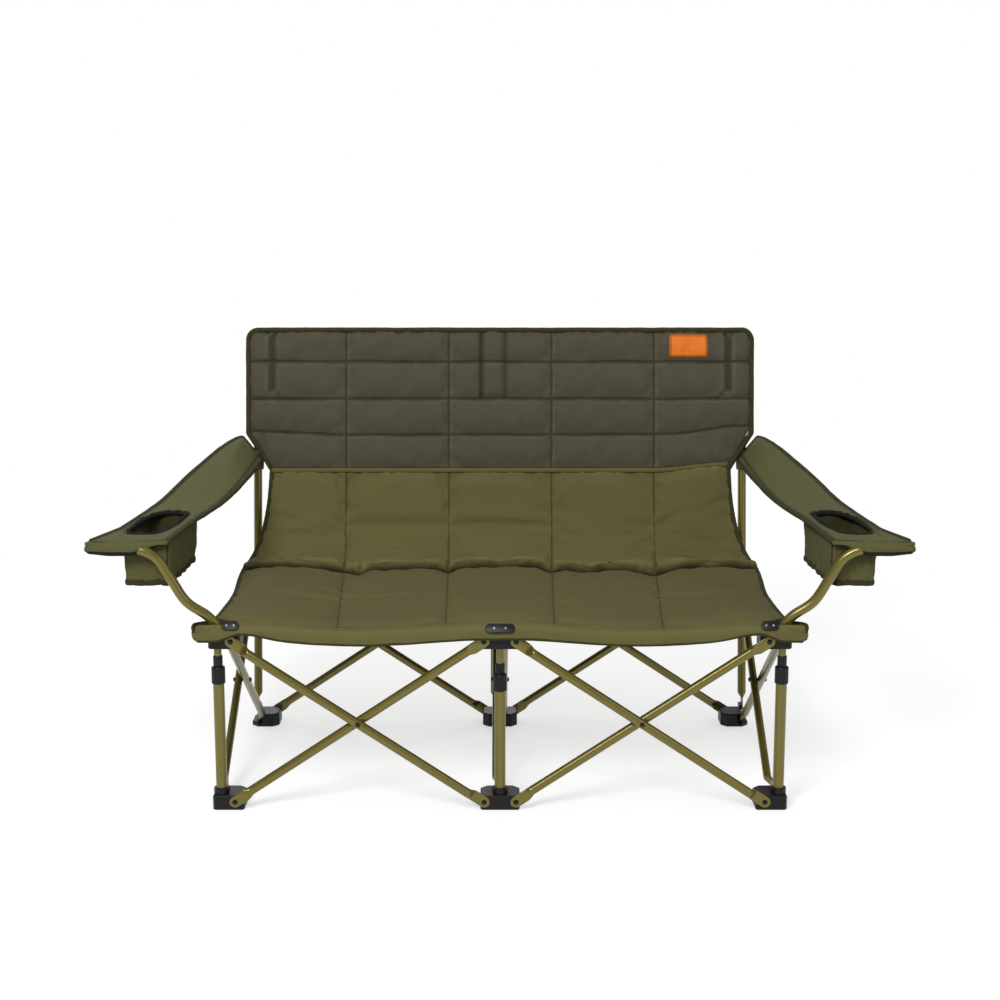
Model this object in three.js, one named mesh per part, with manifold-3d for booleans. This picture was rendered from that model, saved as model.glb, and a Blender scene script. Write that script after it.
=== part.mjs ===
// Folding camping loveseat: a scissor frame of riveted tube braces under a sling seat.
// Millimetres, +Z up, +Y towards the back. While it is built, the front legs stand on y = 0.
import * as THREE from 'three';
import { mergeVertices } from 'three/addons/utils/BufferGeometryUtils.js';
import Module from 'manifold-3d';

const wasm = await Module();
wasm.setup();

// Clearances
const fitGap = 0.3;
const slideGap = 0.3;

// Scissor linkage: every brace has the same length and the same angle
const scissorSpan = 492;
const scissorRise = 327;
const lowerPivotHeight = 18;
const centrePivotOffset = 31.5;
const cornerPivotOffset = 29;
const depthPivotOffset = 29;
const foldAngle = 52;

// Brace tubes
const braceDiameter = 16;
const braceTabThickness = 3;
const braceTabWidth = 23;
const braceTabLength = 24;
const braceTaperLength = 16;
const braceLayerGap = 0.4;
const braceSides = 8;
const pressedShare = 0.45;
const pressedNarrowing = 0.35;
const tabTipTurns = [20, 60, 90];

// Rivets and pins
const pinDiameter = 6;
const pinHeadDiameter = 11;
const pinHeadHeight = 3;
const pinSides = 8;
const headTopShare = 0.32;
const pinRoot = 4;
const pinPast = 1;
const slotPinRoot = 3;

// Plan of the feet and hubs, measured from the leg axis
const blockOutboard = 15.5;
const blockInboard = 46.5;
const centreBlockHalfWidth = 39;
const blockFaceDepth = 20;
const blockInnerDepth = 42;
const faceCornerCut = 4;
const innerCornerCut = 13;
const edgeBevel = 2;
const sidePlaneInset = 3.5;
const slotMargin = 1.2;
const hubSlotDrop = 40;
const cutOver = 5;

// Feet
const footHeight = 30;
const footBaseHeight = 9;
const rearFootStep = 12;
const socketWall = 4.2;
const socketHeight = 42;
const lugHeight = 43;
const lugHalfLength = 12;
const cornerNotchExtra = 8;

// Hubs
const hubBelowPivot = 16;
const hubAbovePivot = 21;
const collarHeight = 24;
const collarWall = 4;
const collarNeckWidth = 20;
const collarNeckShift = 6;
const slotSteps = 6;

// Front legs, sleeves and sliding rods
const legDiameter = 22;
const legWall = 2;
const rodDiameter = 15;
const rodFootClearance = 7;
const sleeveDiameter = 27;
const sleeveGripHeight = 34;
const sleeveNeckDiameter = 18.6;
const sleeveNeckHeight = 22;
const sleeveGroove = 1.6;
const sleeveSeat = 4;
const sleeveRound = 2;
const cornerLegLength = 276;
const centreLegLength = 261;
const tubeSides = 14;

// Rear posts
const postDiameter = 19;
const postLean = 10;
const postPinHeight = 30;
const postLength = 866;
const postInset = -5.5;
const centrePostOffset = -12;
const postSides = 10;
const postTopChamfer = 4;

// Arm tubes
const armDiameter = 18;
const armRise = 182;
const armTipReach = 244;
const armBackset = 12;
const armElbows = [[3, 9], [18, 26], [57, 55], [88, 106], [112, 143], [138, 158]];
const armSides = 10;
const armSteps = 20;
const armLevelFrom = [90, 70, 20];

// Sling: its height over the hubs, its sags between the columns and its quilting
const slingThickness = 7;
const hubRest = 0.4;
const seatHalfWidth = 566;
const creaseHalfWidth = 580;
const seatCornerHalfWidth = 541;
const seatBandHalfWidth = 602;
const seatBandHeight = 27;
const seatLipRise = 5.5;
const seatBandShare = 0.83;
const seatBandCornerShare = 0.45;
const seatBandNarrowFrom = 400;
const seatBandNarrowest = 505;
const seatSag = 12;
const creaseSag = 6;
const creaseRise = 2.5;
const creaseBehindHub = 4;
const seatDip = 8;
const quiltColumns = 5;
const quiltRows = 4;
const quiltRise = 4;
const quiltSteps = 4;
const panelGap = 0.6;
const creaseGapShare = 0.0006;
const seatSplit = 0.25;
const lowerBackRows = 8;
const seatRearRows = 6;
const seatFrontRows = 14;
const seatEarRounding = 12;
const plateRest = 0.3;
const backSeamHeight = 553;
const backTopHeight = 876;
const backHalfWidth = 579;
const backWaistHalfWidth = 529;
const backShoulderHeight = 82;
const backCornerRadius = 26;
const pocketHeight = 152;
const pocketWall = 2.6;

// Armrests, on a plane that rises towards the back
const armrestThickness = 4;
const armrestSlope = 0.09;
const armrestSink = 1.4;
const armrestTwistRise = 50;
const armrestTwistFrom = 250;
const armrestLoopHeight = 30;
const armrestLoopMiddle = 567;
const armrestLoopWall = 3;
const armrestHemDiameter = 8;
const armrestSleeveLength = 86;
const armrestHemOverlap = 6;
const armrestTipCut = 4;
const armrestInnerEdge = [[642, -3], [614, 145], [595, 216], [568, 337], [553, 480], [547, 642]];
const armrestOuterEdge = [[592, 655], [616, 618], [655, 500], [692, 380], [733, 180], [755, 80]];

// Cup pockets, hung from an oval opening in each armrest
const cupWidth = 84;
const cupLength = 150;
const cupTurn = 15;
const cupAcross = 678;
const cupAlong = 112;
const pouchWidth = 97;
const pouchLength = 191;
const pouchTaper = 5;
const pouchAcross = 689;
const pouchFront = 9;
const pouchSkew = 0.12;
const pouchBottomHeight = 449;
const pouchBottomSlope = 0.07;
const pouchCornerRadius = 16;
const pouchWall = 2.6;

// Band plates
const centrePlateWidth = 58;
const cornerPlateWidth = 34;
const plateHeight = 19;
const plateThickness = 3.5;
const plateRise = 2;
const plateTilt = 35;
const plateRivetSpacing = 22;
const cornerRivetSpacing = 14;
const plateRivetDiameter = 7;
const plateRivetHeight = 1.6;
const cornerPlateInset = 31;

// Worked out from the values above
const legX = centrePivotOffset + scissorSpan + cornerPivotOffset;
const rowDepth = 2 * depthPivotOffset + scissorSpan;
const upperPivotHeight = lowerPivotHeight + scissorRise;
const braceLength = Math.hypot(scissorSpan, scissorRise);
const braceLayerOffset = (braceDiameter + braceLayerGap) / 2;
const facePlane = blockFaceDepth + fitGap + braceTabThickness / 2;
const hubTop = upperPivotHeight + hubAbovePivot;
const hubBottom = upperPivotHeight - hubBelowPivot;
const leanRad = THREE.MathUtils.degToRad(postLean);
const columns = { left: -1, centre: 0, right: 1 };
const rows = { front: { y: 0, facing: 1 }, rear: { y: rowDepth, facing: -1 } };

// Materials
function finish(color, roughness, metalness) {
  return new THREE.MeshStandardMaterial({ color, roughness, metalness });
}
const paint = finish(0x76703a, 0.38, 0.35);
const plastic = finish(0x222226, 0.55, 0);
const steel = finish(0x8f8d84, 0.35, 0.9);
const oliveCloth = finish(0x5f5b3c, 0.85, 0);
const backCloth = finish(0x4f4b3f, 0.85, 0);
const armCloth = finish(0x62633f, 0.85, 0);

const model = new THREE.Group();

function addPiece(name, geometry, material, parent = model) {
  const mesh = new THREE.Mesh(geometry, material);
  mesh.name = name;
  parent.add(mesh);
  return mesh;
}

// Solids: conversion to and from closed meshes that can be joined and cut
function toSolid(geometry) {
  let plain = geometry.clone();
  plain.deleteAttribute('normal');
  plain.deleteAttribute('uv');
  plain = mergeVertices(plain, 1e-4);
  return new wasm.Manifold(new wasm.Mesh({
    numProp: 3,
    vertProperties: new Float32Array(plain.attributes.position.array),
    triVerts: new Uint32Array(plain.index.array),
  }));
}

function toGeometry(solid) {
  const mesh = solid.getMesh();
  const geometry = new THREE.BufferGeometry();
  geometry.setAttribute('position', new THREE.BufferAttribute(mesh.vertProperties, 3));
  geometry.setIndex(new THREE.BufferAttribute(mesh.triVerts, 1));
  geometry.computeVertexNormals();
  return geometry;
}

function box(xs, ys, zs) {
  const [x0, x1] = [Math.min(...xs), Math.max(...xs)];
  const [y0, y1] = [Math.min(...ys), Math.max(...ys)];
  const [z0, z1] = [Math.min(...zs), Math.max(...zs)];
  const geometry = new THREE.BoxGeometry(x1 - x0, y1 - y0, z1 - z0);
  geometry.translate((x0 + x1) / 2, (y0 + y1) / 2, (z0 + z1) / 2);
  return toSolid(geometry);
}

// A round bar from one point to another
function bar(from, to, diameter, sides = pinSides) {
  const start = new THREE.Vector3(...from);
  const end = new THREE.Vector3(...to);
  const along = end.clone().sub(start);
  const geometry = new THREE.CylinderGeometry(diameter / 2, diameter / 2, along.length(), sides);
  geometry.applyQuaternion(new THREE.Quaternion().setFromUnitVectors(
    new THREE.Vector3(0, 1, 0), along.clone().normalize()));
  const middle = start.add(end).multiplyScalar(0.5);
  geometry.translate(middle.x, middle.y, middle.z);
  return toSolid(geometry);
}

// A low domed rivet head that stands on a surface and points along a direction
function rivetHead(at, direction, diameter = pinHeadDiameter, height = pinHeadHeight) {
  const profile = [
    new THREE.Vector2(0, 0),
    new THREE.Vector2(diameter / 2, 0),
    new THREE.Vector2(diameter * headTopShare, height),
    new THREE.Vector2(0, height),
  ];
  const geometry = new THREE.LatheGeometry(profile, pinSides);
  geometry.applyQuaternion(new THREE.Quaternion().setFromUnitVectors(
    new THREE.Vector3(0, 1, 0), new THREE.Vector3(...direction)));
  geometry.translate(...at);
  return toSolid(geometry);
}

// A closed skin over rings of points; every ring has the same number of points
function loft(rings) {
  const count = rings[0].length;
  const positions = [];
  const index = [];
  for (const ring of rings) {
    for (const point of ring) positions.push(point.x, point.y, point.z);
  }
  for (let ring = 0; ring < rings.length - 1; ring += 1) {
    for (let k = 0; k < count; k += 1) {
      const a = ring * count + k;
      const b = ring * count + (k + 1) % count;
      index.push(a, b, b + count, a, b + count, a + count);
    }
  }
  const capStart = positions.length / 3;
  for (const ring of [rings[0], rings[rings.length - 1]]) {
    const centre = new THREE.Vector3();
    for (const point of ring) centre.add(point);
    centre.divideScalar(count);
    positions.push(centre.x, centre.y, centre.z);
  }
  const last = (rings.length - 1) * count;
  for (let k = 0; k < count; k += 1) {
    const next = (k + 1) % count;
    index.push(capStart, next, k);
    index.push(capStart + 1, last + k, last + next);
  }
  const geometry = new THREE.BufferGeometry();
  geometry.setAttribute('position', new THREE.Float32BufferAttribute(positions, 3));
  geometry.setIndex(index);
  geometry.computeVertexNormals();
  return geometry;
}

// Section of a tube that may be pressed flat: a round-ended bar seen on end
function pressedSection(station, halfWidth, halfThickness, centre, sides) {
  const ring = [];
  for (let k = 0; k < sides; k += 1) {
    const angle = (k + 0.5) / sides * 2 * Math.PI;
    const straight = Math.sign(Math.cos(angle)) * (halfWidth - halfThickness);
    ring.push(new THREE.Vector3(
      station, straight + halfThickness * Math.cos(angle), centre + halfThickness * Math.sin(angle)));
  }
  return ring;
}

// One pressed tube end, from the rounded tip of its tab to the full round section
function pressedEnd(radius, layerOffset, sides) {
  const flat = braceTabThickness / 2;
  const tabRadius = braceTabWidth / 2;
  const rings = [];
  for (const turn of tabTipTurns) {
    const angle = THREE.MathUtils.degToRad(turn);
    rings.push([-tabRadius * Math.cos(angle), tabRadius * Math.sin(angle), flat, 0]);
  }
  rings.push([braceTabLength, tabRadius, flat, 0]);
  rings.push([
    braceTabLength + braceTaperLength * pressedShare,
    THREE.MathUtils.lerp(tabRadius, radius, pressedNarrowing),
    THREE.MathUtils.lerp(flat, radius, pressedShare),
    layerOffset * pressedShare,
  ]);
  rings.push([braceTabLength + braceTaperLength, radius, radius, layerOffset]);
  return rings.map(([s, w, t, c]) => ({ s, w, t, c, sides }));
}

function braceGeometry() {
  const end = pressedEnd(braceDiameter / 2, braceLayerOffset, braceSides);
  const far = end.map((ring) => ({ ...ring, s: braceLength - ring.s })).reverse();
  const rings = [...end, ...far].map((r) => pressedSection(r.s, r.w, r.t, r.c, r.sides));
  let solid = toSolid(loft(rings));
  const reach = braceDiameter * 2;
  for (const s of [0, braceLength / 2, braceLength]) {
    solid = solid.subtract(bar([s, 0, -reach], [s, 0, reach], pinDiameter + 2 * fitGap));
  }
  return toGeometry(solid);
}
const sharedBrace = braceGeometry();

// Places a brace between two pivots, its body on the side that the normal points to
function addBrace(name, from, to, normal) {
  const start = new THREE.Vector3(...from);
  const along = new THREE.Vector3(...to).sub(start).normalize();
  const side = new THREE.Vector3(...normal);
  const across = side.clone().cross(along);
  const mesh = addPiece(name, sharedBrace, paint);
  mesh.position.copy(start);
  mesh.quaternion.setFromRotationMatrix(new THREE.Matrix4().makeBasis(along, across, side));
  return mesh;
}

// The rivet through a crossing, with a head on each outer side
function crossRivetGeometry(at, normal) {
  const reach = braceLayerOffset + braceDiameter / 2 + fitGap;
  const out = new THREE.Vector3(...normal);
  const centre = new THREE.Vector3(...at);
  const near = centre.clone().addScaledVector(out, -reach);
  const far = centre.clone().addScaledVector(out, reach);
  return toGeometry(bar(near.toArray(), far.toArray(), pinDiameter)
    .add(rivetHead(near.toArray(), out.clone().negate().toArray()))
    .add(rivetHead(far.toArray(), normal)));
}

// Column positions across the seat
function columnX(side) {
  return columns[side] * legX;
}

function innerPivotX(side, towards) {
  const hand = columns[side];
  return hand === 0 ? towards * centrePivotOffset : hand * (legX - cornerPivotOffset);
}

function sidePlaneX(side) {
  return columns[side] * (legX - sidePlaneInset);
}

function postX(side) {
  return side === 'centre' ? centrePostOffset : columns[side] * (legX - postInset);
}

// A block with cut corners in plan and bevelled edges, as the feet and hubs have.
// The cuts are small at the face that carries the crosswise braces
function cutBlock(xs, ys, z0, z1) {
  const [x0, x1] = [Math.min(...xs), Math.max(...xs)];
  const [y0, y1] = [Math.min(...ys), Math.max(...ys)];
  const [cut0, cut1] = ys[0] < ys[1] ? [faceCornerCut, innerCornerCut] : [innerCornerCut, faceCornerCut];
  const shape = new THREE.Shape();
  shape.moveTo(x0 + cut0, y0);
  shape.lineTo(x1 - cut0, y0);
  shape.lineTo(x1, y0 + cut0);
  shape.lineTo(x1, y1 - cut1);
  shape.lineTo(x1 - cut1, y1);
  shape.lineTo(x0 + cut1, y1);
  shape.lineTo(x0, y1 - cut1);
  shape.lineTo(x0, y0 + cut0);
  const geometry = new THREE.ExtrudeGeometry(shape, {
    depth: z1 - z0 - 2 * edgeBevel,
    bevelEnabled: true,
    bevelThickness: edgeBevel,
    bevelSize: edgeBevel,
    bevelOffset: -edgeBevel,
    bevelSegments: 1,
  });
  geometry.translate(0, 0, z0 + edgeBevel);
  return toSolid(geometry);
}

// Plan extents of a foot or hub: across its column, and from its leg axis inwards
function blockExtents(side, row, outboardStep = 0) {
  const hand = columns[side];
  const x = columnX(side);
  const xs = hand === 0
    ? [-centreBlockHalfWidth, centreBlockHalfWidth]
    : [x + hand * (blockOutboard - outboardStep), x - hand * blockInboard];
  const ys = [row.y - row.facing * blockFaceDepth, row.y + row.facing * blockInnerDepth];
  return { xs, ys };
}

// Pins on the outer face that carry the ends of the crosswise braces
function facePins(side, row, height) {
  const outward = -row.facing;
  const face = row.y + outward * blockFaceDepth;
  const headFace = face + outward * (braceTabThickness + 2 * fitGap);
  const towards = columns[side] === 0 ? [-1, 1] : [0];
  return towards.map((way) => {
    const x = innerPivotX(side, way);
    return bar([x, face - outward * pinRoot, height], [x, headFace + outward * pinPast, height], pinDiameter)
      .add(rivetHead([x, headFace, height], [0, outward, 0]));
  });
}

// The slot and pin that carry the ends of the front-to-rear braces
function cutSideSlot(solid, side, row, height, open) {
  const x = sidePlaneX(side);
  const half = braceTabThickness / 2 + fitGap;
  const pivotY = row.y + row.facing * depthPivotOffset;
  const root = pivotY - row.facing * (braceTabWidth / 2 + slotMargin);
  const mouth = row.y + row.facing * (blockInnerDepth + cutOver);
  const slot = box([x - half, x + half], [root, mouth], [height - open.below, height + open.above]);
  const pinReach = half + slotPinRoot;
  return solid.subtract(slot)
    .add(bar([x - pinReach, pivotY, height], [x + pinReach, pivotY, height], pinDiameter));
}

const slotReach = braceTabWidth / 2 + slotMargin;

function frontFootGeometry(side) {
  const row = rows.front;
  const { xs, ys } = blockExtents(side, row);
  const x = columnX(side);
  const socketDiameter = legDiameter + 2 * (fitGap + socketWall);
  let foot = cutBlock(xs, ys, 0, footHeight)
    .add(bar([x, 0, footBaseHeight / 2], [x, 0, socketHeight], socketDiameter, tubeSides));
  foot = foot.subtract(bar([x, 0, footBaseHeight], [x, 0, socketHeight + cutOver],
    legDiameter + 2 * fitGap, tubeSides));
  foot = cutSideSlot(foot, side, row, lowerPivotHeight,
    { below: slotReach, above: footHeight });
  for (const pin of facePins(side, row, lowerPivotHeight)) foot = foot.add(pin);
  return toGeometry(foot);
}

// Rear feet carry the post on a pin beside a raised lug
function rearFootGeometry(side) {
  const row = rows.rear;
  const hand = columns[side];
  const outward = hand === 0 ? -1 : hand;
  const base = blockExtents(side, row);
  const upper = blockExtents(side, row, rearFootStep);
  const x = postX(side);
  const lugFace = x - outward * (braceTabThickness / 2 + fitGap);
  const slotWall = sidePlaneX(side) + outward * (braceTabThickness / 2 + fitGap);
  const headFace = x + outward * (braceTabThickness / 2 + fitGap);
  let foot = cutBlock(base.xs, base.ys, 0, footBaseHeight + edgeBevel)
    .add(cutBlock(upper.xs, upper.ys, 1, footHeight));
  foot = foot.add(box([lugFace, slotWall],
    [row.y - lugHalfLength, row.y + lugHalfLength], [footHeight / 2, lugHeight]));
  const headRoom = braceTabThickness + 2 * fitGap + pinHeadHeight + pinPast;
  const notchDepth = headRoom + cornerNotchExtra * Math.abs(hand);
  const notchHalf = lugHalfLength + edgeBevel;
  foot = foot.subtract(box([lugFace, lugFace + outward * notchDepth],
    [row.y - notchHalf, row.y + notchHalf], [footBaseHeight + 2 * edgeBevel, footHeight + cutOver]));
  foot = cutSideSlot(foot, side, row, lowerPivotHeight, { below: slotReach, above: footHeight });
  foot = foot.add(bar([lugFace - outward * pinRoot, row.y, postPinHeight],
    [headFace + outward * pinPast, row.y, postPinHeight], pinDiameter));
  foot = foot.add(rivetHead([headFace, row.y, postPinHeight], [outward, 0, 0]));
  for (const pin of facePins(side, row, lowerPivotHeight)) foot = foot.add(pin);
  return toGeometry(foot);
}

function frontHubGeometry(side) {
  const row = rows.front;
  const { xs, ys } = blockExtents(side, row);
  const x = columnX(side);
  const bore = (side === 'centre' ? rodDiameter : armDiameter) + 2 * fitGap;
  let hub = cutBlock(xs, ys, hubBottom, hubTop)
    .subtract(bar([x, 0, hubBottom - cutOver], [x, 0, hubTop + cutOver], bore, tubeSides));
  hub = cutSideSlot(hub, side, row, upperPivotHeight, { below: hubSlotDrop, above: slotReach });
  for (const pin of facePins(side, row, upperPivotHeight)) hub = hub.add(pin);
  return toGeometry(hub);
}

// How far back the post strays from its straight path through the hub while the frame folds
function postStray() {
  const offset = (upperPivotHeight - postPinHeight) * Math.tan(leanRad);
  const startAngle = Math.atan2(scissorRise, scissorSpan);
  const heightAt = (fold) => lowerPivotHeight - postPinHeight
    + braceLength * Math.sin(startAngle + THREE.MathUtils.degToRad(fold));
  const endLean = Math.atan2(offset, heightAt(foldAngle));
  let stray = 0;
  for (let fold = 0; fold <= foldAngle; fold += 1) {
    const lean = leanRad + (endLean - leanRad) * fold / foldAngle;
    stray = Math.max(stray, heightAt(fold) * Math.tan(lean) - offset);
  }
  return stray;
}

function postYAt(height) {
  return rowDepth + (height - postPinHeight) * Math.tan(leanRad);
}

// A ring of plan points with two half-round ends
function slotOutline(x, yFront, yRear, radius, steps) {
  const points = [];
  for (let k = 0; k <= steps; k += 1) {
    const angle = Math.PI * k / steps;
    points.push(new THREE.Vector2(x + radius * Math.cos(angle), yRear - radius + radius * Math.sin(angle)));
  }
  for (let k = 0; k <= steps; k += 1) {
    const angle = Math.PI + Math.PI * k / steps;
    points.push(new THREE.Vector2(x + radius * Math.cos(angle), yFront + radius + radius * Math.sin(angle)));
  }
  return points;
}

function prism(points, z0, z1) {
  const geometry = new THREE.ExtrudeGeometry(new THREE.Shape(points), {
    depth: z1 - z0,
    bevelEnabled: false,
  });
  geometry.translate(0, 0, z0);
  return toSolid(geometry);
}

// Rear hubs reach back to a slotted collar that the leaning post slides through
function rearHubGeometry(side) {
  const row = rows.rear;
  const { xs, ys } = blockExtents(side, row);
  const x = postX(side);
  const halfHeight = collarHeight / 2;
  const tilt = halfHeight * Math.tan(leanRad);
  const reach = postDiameter / 2 / Math.cos(leanRad) + slideGap;
  const mouth = postYAt(upperPivotHeight);
  const slotFront = mouth - tilt - reach;
  const slotRear = mouth + tilt + reach + postStray();
  const slotRadius = postDiameter / 2 + slideGap;
  const zs = [upperPivotHeight - halfHeight, upperPivotHeight + halfHeight];
  const hand = columns[side];
  const neckX = hand === 0 ? x + collarNeckShift : x;
  let hub = cutBlock(xs, ys, hubBottom, hubTop);
  hub = hub.add(prism(slotOutline(x, slotFront - collarWall, slotRear + collarWall,
    slotRadius + collarWall, slotSteps), ...zs));
  hub = hub.add(box([neckX - collarNeckWidth / 2, neckX + collarNeckWidth / 2],
    [row.y, slotFront - collarWall / 2 + slotRadius / 2], zs));
  hub = hub.subtract(prism(slotOutline(x, slotFront, slotRear, slotRadius, slotSteps),
    zs[0] - cutOver, zs[1] + cutOver));
  hub = cutSideSlot(hub, side, row, upperPivotHeight, { below: hubSlotDrop, above: slotReach });
  for (const pin of facePins(side, row, upperPivotHeight)) hub = hub.add(pin);
  return toGeometry(hub);
}

// Front legs
function revolve(points, sides = tubeSides) {
  const geometry = new THREE.LatheGeometry(points.map(([r, z]) => new THREE.Vector2(r, z)), sides);
  geometry.rotateX(Math.PI / 2);
  return geometry;
}

function legGeometry(length) {
  const outer = legDiameter / 2;
  const inner = outer - legWall;
  const bottom = footBaseHeight + fitGap;
  return revolve([
    [inner, bottom], [outer, bottom], [outer, bottom + length], [inner, bottom + length], [inner, bottom],
  ]);
}

function sleeveGeometry(legLength) {
  const legTop = footBaseHeight + fitGap + legLength;
  const seat = legTop + fitGap;
  const bottom = seat - (sleeveGripHeight - sleeveSeat);
  const grip = sleeveDiameter / 2;
  const neck = sleeveNeckDiameter / 2;
  const legBore = legDiameter / 2 + fitGap;
  const rodBore = rodDiameter / 2 + slideGap;
  const shoulder = bottom + sleeveGripHeight;
  const top = shoulder + sleeveNeckHeight;
  const groove = neck - sleeveGroove / 2;
  return revolve([
    [legBore, bottom],
    [grip - sleeveRound / 2, bottom],
    [grip, bottom + sleeveRound],
    [grip, shoulder - sleeveRound],
    [grip - sleeveRound, shoulder],
    [groove, shoulder],
    [groove, shoulder + sleeveGroove],
    [neck, shoulder + sleeveGroove],
    [neck, top - sleeveRound / 2],
    [neck - sleeveRound / 4, top],
    [rodBore, top],
    [rodBore, seat],
    [legBore, seat],
    [legBore, bottom],
  ]);
}

const rodBottom = footBaseHeight + rodFootClearance;

// The bent part of an arm tube, from just above its hub up and outwards
function armBend(side, diameter, reachEnd) {
  const hand = columns[side];
  const x = hand * legX;
  const top = upperPivotHeight + armRise;
  const backset = (reach) => -armBackset * Math.min(reach / armElbows.at(-1)[0], 1);
  const points = [[0, 2], ...armElbows].map(([reach, rise]) => (
    new THREE.Vector3(x + hand * reach, backset(reach), hubTop + rise)));
  for (const reach of [...armLevelFrom.map((back) => armTipReach - back), reachEnd]) {
    points.push(new THREE.Vector3(x + hand * reach, -armBackset, top));
  }
  const path = new THREE.CatmullRomCurve3(points, false, 'centripetal');
  const section = new THREE.Shape();
  for (let k = 0; k < armSides; k += 1) {
    const angle = k / armSides * 2 * Math.PI;
    const [u, v] = [diameter / 2 * Math.cos(angle), diameter / 2 * Math.sin(angle)];
    if (k === 0) section.moveTo(u, v);
    else section.lineTo(u, v);
  }
  return toSolid(new THREE.ExtrudeGeometry(section, { steps: armSteps, extrudePath: path }));
}

// An arm tube: a reduced rod in the leg, the tube through the hub, then the bend
function armTubeGeometry(side) {
  const x = columnX(side);
  return toGeometry(armBend(side, armDiameter, armTipReach)
    .add(bar([x, 0, hubBottom], [x, 0, hubTop + cutOver - 1], armDiameter, armSides))
    .add(bar([x, 0, rodBottom], [x, 0, hubBottom + 2], rodDiameter, armSides)));
}

// The post: pressed flat at its pinned end, chamfered at the top
function postGeometry() {
  const radius = postDiameter / 2;
  const end = pressedEnd(radius, 0, postSides);
  const topRadius = radius - postTopChamfer * 0.75;
  const top = [
    { s: postLength - postTopChamfer, w: radius, t: radius, c: 0, sides: postSides },
    { s: postLength, w: topRadius, t: topRadius, c: 0, sides: postSides },
  ];
  const rings = [...end, ...top].map((r) => pressedSection(r.s, r.w, r.t, r.c, r.sides));
  let solid = toSolid(loft(rings));
  solid = solid.subtract(bar([0, 0, -radius], [0, 0, radius], pinDiameter + 2 * fitGap));
  return toGeometry(solid);
}

// Soft panels: a closed skin over a grid, given its top surface and its thickness
function paddedPanel(surface, columnsCount, rowsCount) {
  const positions = [];
  const index = [];
  const across = columnsCount + 1;
  const count = across * (rowsCount + 1);
  for (const layer of [0, 1]) {
    for (let j = 0; j <= rowsCount; j += 1) {
      for (let i = 0; i <= columnsCount; i += 1) {
        const point = surface(i / columnsCount, j / rowsCount, layer);
        positions.push(point.x, point.y, point.z);
      }
    }
  }
  const at = (i, j, layer) => layer * count + j * across + i;
  for (let j = 0; j < rowsCount; j += 1) {
    for (let i = 0; i < columnsCount; i += 1) {
      index.push(at(i, j, 0), at(i + 1, j, 0), at(i + 1, j + 1, 0));
      index.push(at(i, j, 0), at(i + 1, j + 1, 0), at(i, j + 1, 0));
      index.push(at(i, j, 1), at(i + 1, j + 1, 1), at(i + 1, j, 1));
      index.push(at(i, j, 1), at(i, j + 1, 1), at(i + 1, j + 1, 1));
    }
  }
  const edge = [];
  for (let i = 0; i < columnsCount; i += 1) edge.push([i, 0]);
  for (let j = 0; j < rowsCount; j += 1) edge.push([columnsCount, j]);
  for (let i = columnsCount; i > 0; i -= 1) edge.push([i, rowsCount]);
  for (let j = rowsCount; j > 0; j -= 1) edge.push([0, j]);
  edge.forEach(([i, j], k) => {
    const [ni, nj] = edge[(k + 1) % edge.length];
    index.push(at(i, j, 0), at(i, j, 1), at(ni, nj, 1));
    index.push(at(i, j, 0), at(ni, nj, 1), at(ni, nj, 0));
  });
  const geometry = new THREE.BufferGeometry();
  geometry.setAttribute('position', new THREE.Float32BufferAttribute(positions, 3));
  geometry.setIndex(index);
  geometry.computeVertexNormals();
  return geometry;
}

// The rise of a quilted cell between its seams, 0 on a seam and 1 in the middle
function quilt(across, cells) {
  return Math.abs(Math.sin(across * cells * Math.PI)) ** 0.6;
}

// How far the sling hangs between the hubs that hold it, 0 over a hub and 1 midway
function hang(x) {
  const [from, to] = [centreBlockHalfWidth, legX - blockInboard];
  const share = THREE.MathUtils.clamp((Math.abs(x) - from) / (to - from), 0, 1);
  return Math.sin(Math.PI * share) ** 1.6;
}

// Frame: feet and hubs
for (const side of ['left', 'centre', 'right']) {
  addPiece(`front_${side}_foot`, frontFootGeometry(side), plastic);
  addPiece(`rear_${side}_foot`, rearFootGeometry(side), plastic);
  addPiece(`front_${side}_hub`, frontHubGeometry(side), plastic);
  addPiece(`rear_${side}_hub`, rearHubGeometry(side), plastic);
}

// Frame: crosswise scissor pairs, in front of the front row and behind the rear row
for (const rowName of ['front', 'rear']) {
  const row = rows[rowName];
  const y = row.y - row.facing * facePlane;
  for (const half of ['left', 'right']) {
    const [outerSide, middleWay] = [half, columns[half]];
    const outerX = innerPivotX(outerSide, 0);
    const middleX = innerPivotX('centre', middleWay);
    const [leftX, rightX] = [Math.min(outerX, middleX), Math.max(outerX, middleX)];
    addBrace(`${rowName}_${half}_brace_falling`,
      [leftX, y, upperPivotHeight], [rightX, y, lowerPivotHeight], [0, -1, 0]);
    addBrace(`${rowName}_${half}_brace_rising`,
      [leftX, y, lowerPivotHeight], [rightX, y, upperPivotHeight], [0, 1, 0]);
    const middle = [(leftX + rightX) / 2, y, (lowerPivotHeight + upperPivotHeight) / 2];
    addPiece(`${rowName}_${half}_cross_rivet`, crossRivetGeometry(middle, [0, 1, 0]), steel);
  }
}

// Frame: front-to-rear scissor pairs under the three columns
for (const side of ['left', 'centre', 'right']) {
  const x = sidePlaneX(side);
  const [front, rear] = [depthPivotOffset, rowDepth - depthPivotOffset];
  addBrace(`${side}_side_brace_rising`,
    [x, front, lowerPivotHeight], [x, rear, upperPivotHeight], [-1, 0, 0]);
  addBrace(`${side}_side_brace_falling`,
    [x, front, upperPivotHeight], [x, rear, lowerPivotHeight], [1, 0, 0]);
  const middle = [x, (front + rear) / 2, (lowerPivotHeight + upperPivotHeight) / 2];
  addPiece(`${side}_side_cross_rivet`, crossRivetGeometry(middle, [1, 0, 0]), steel);
}

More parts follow.
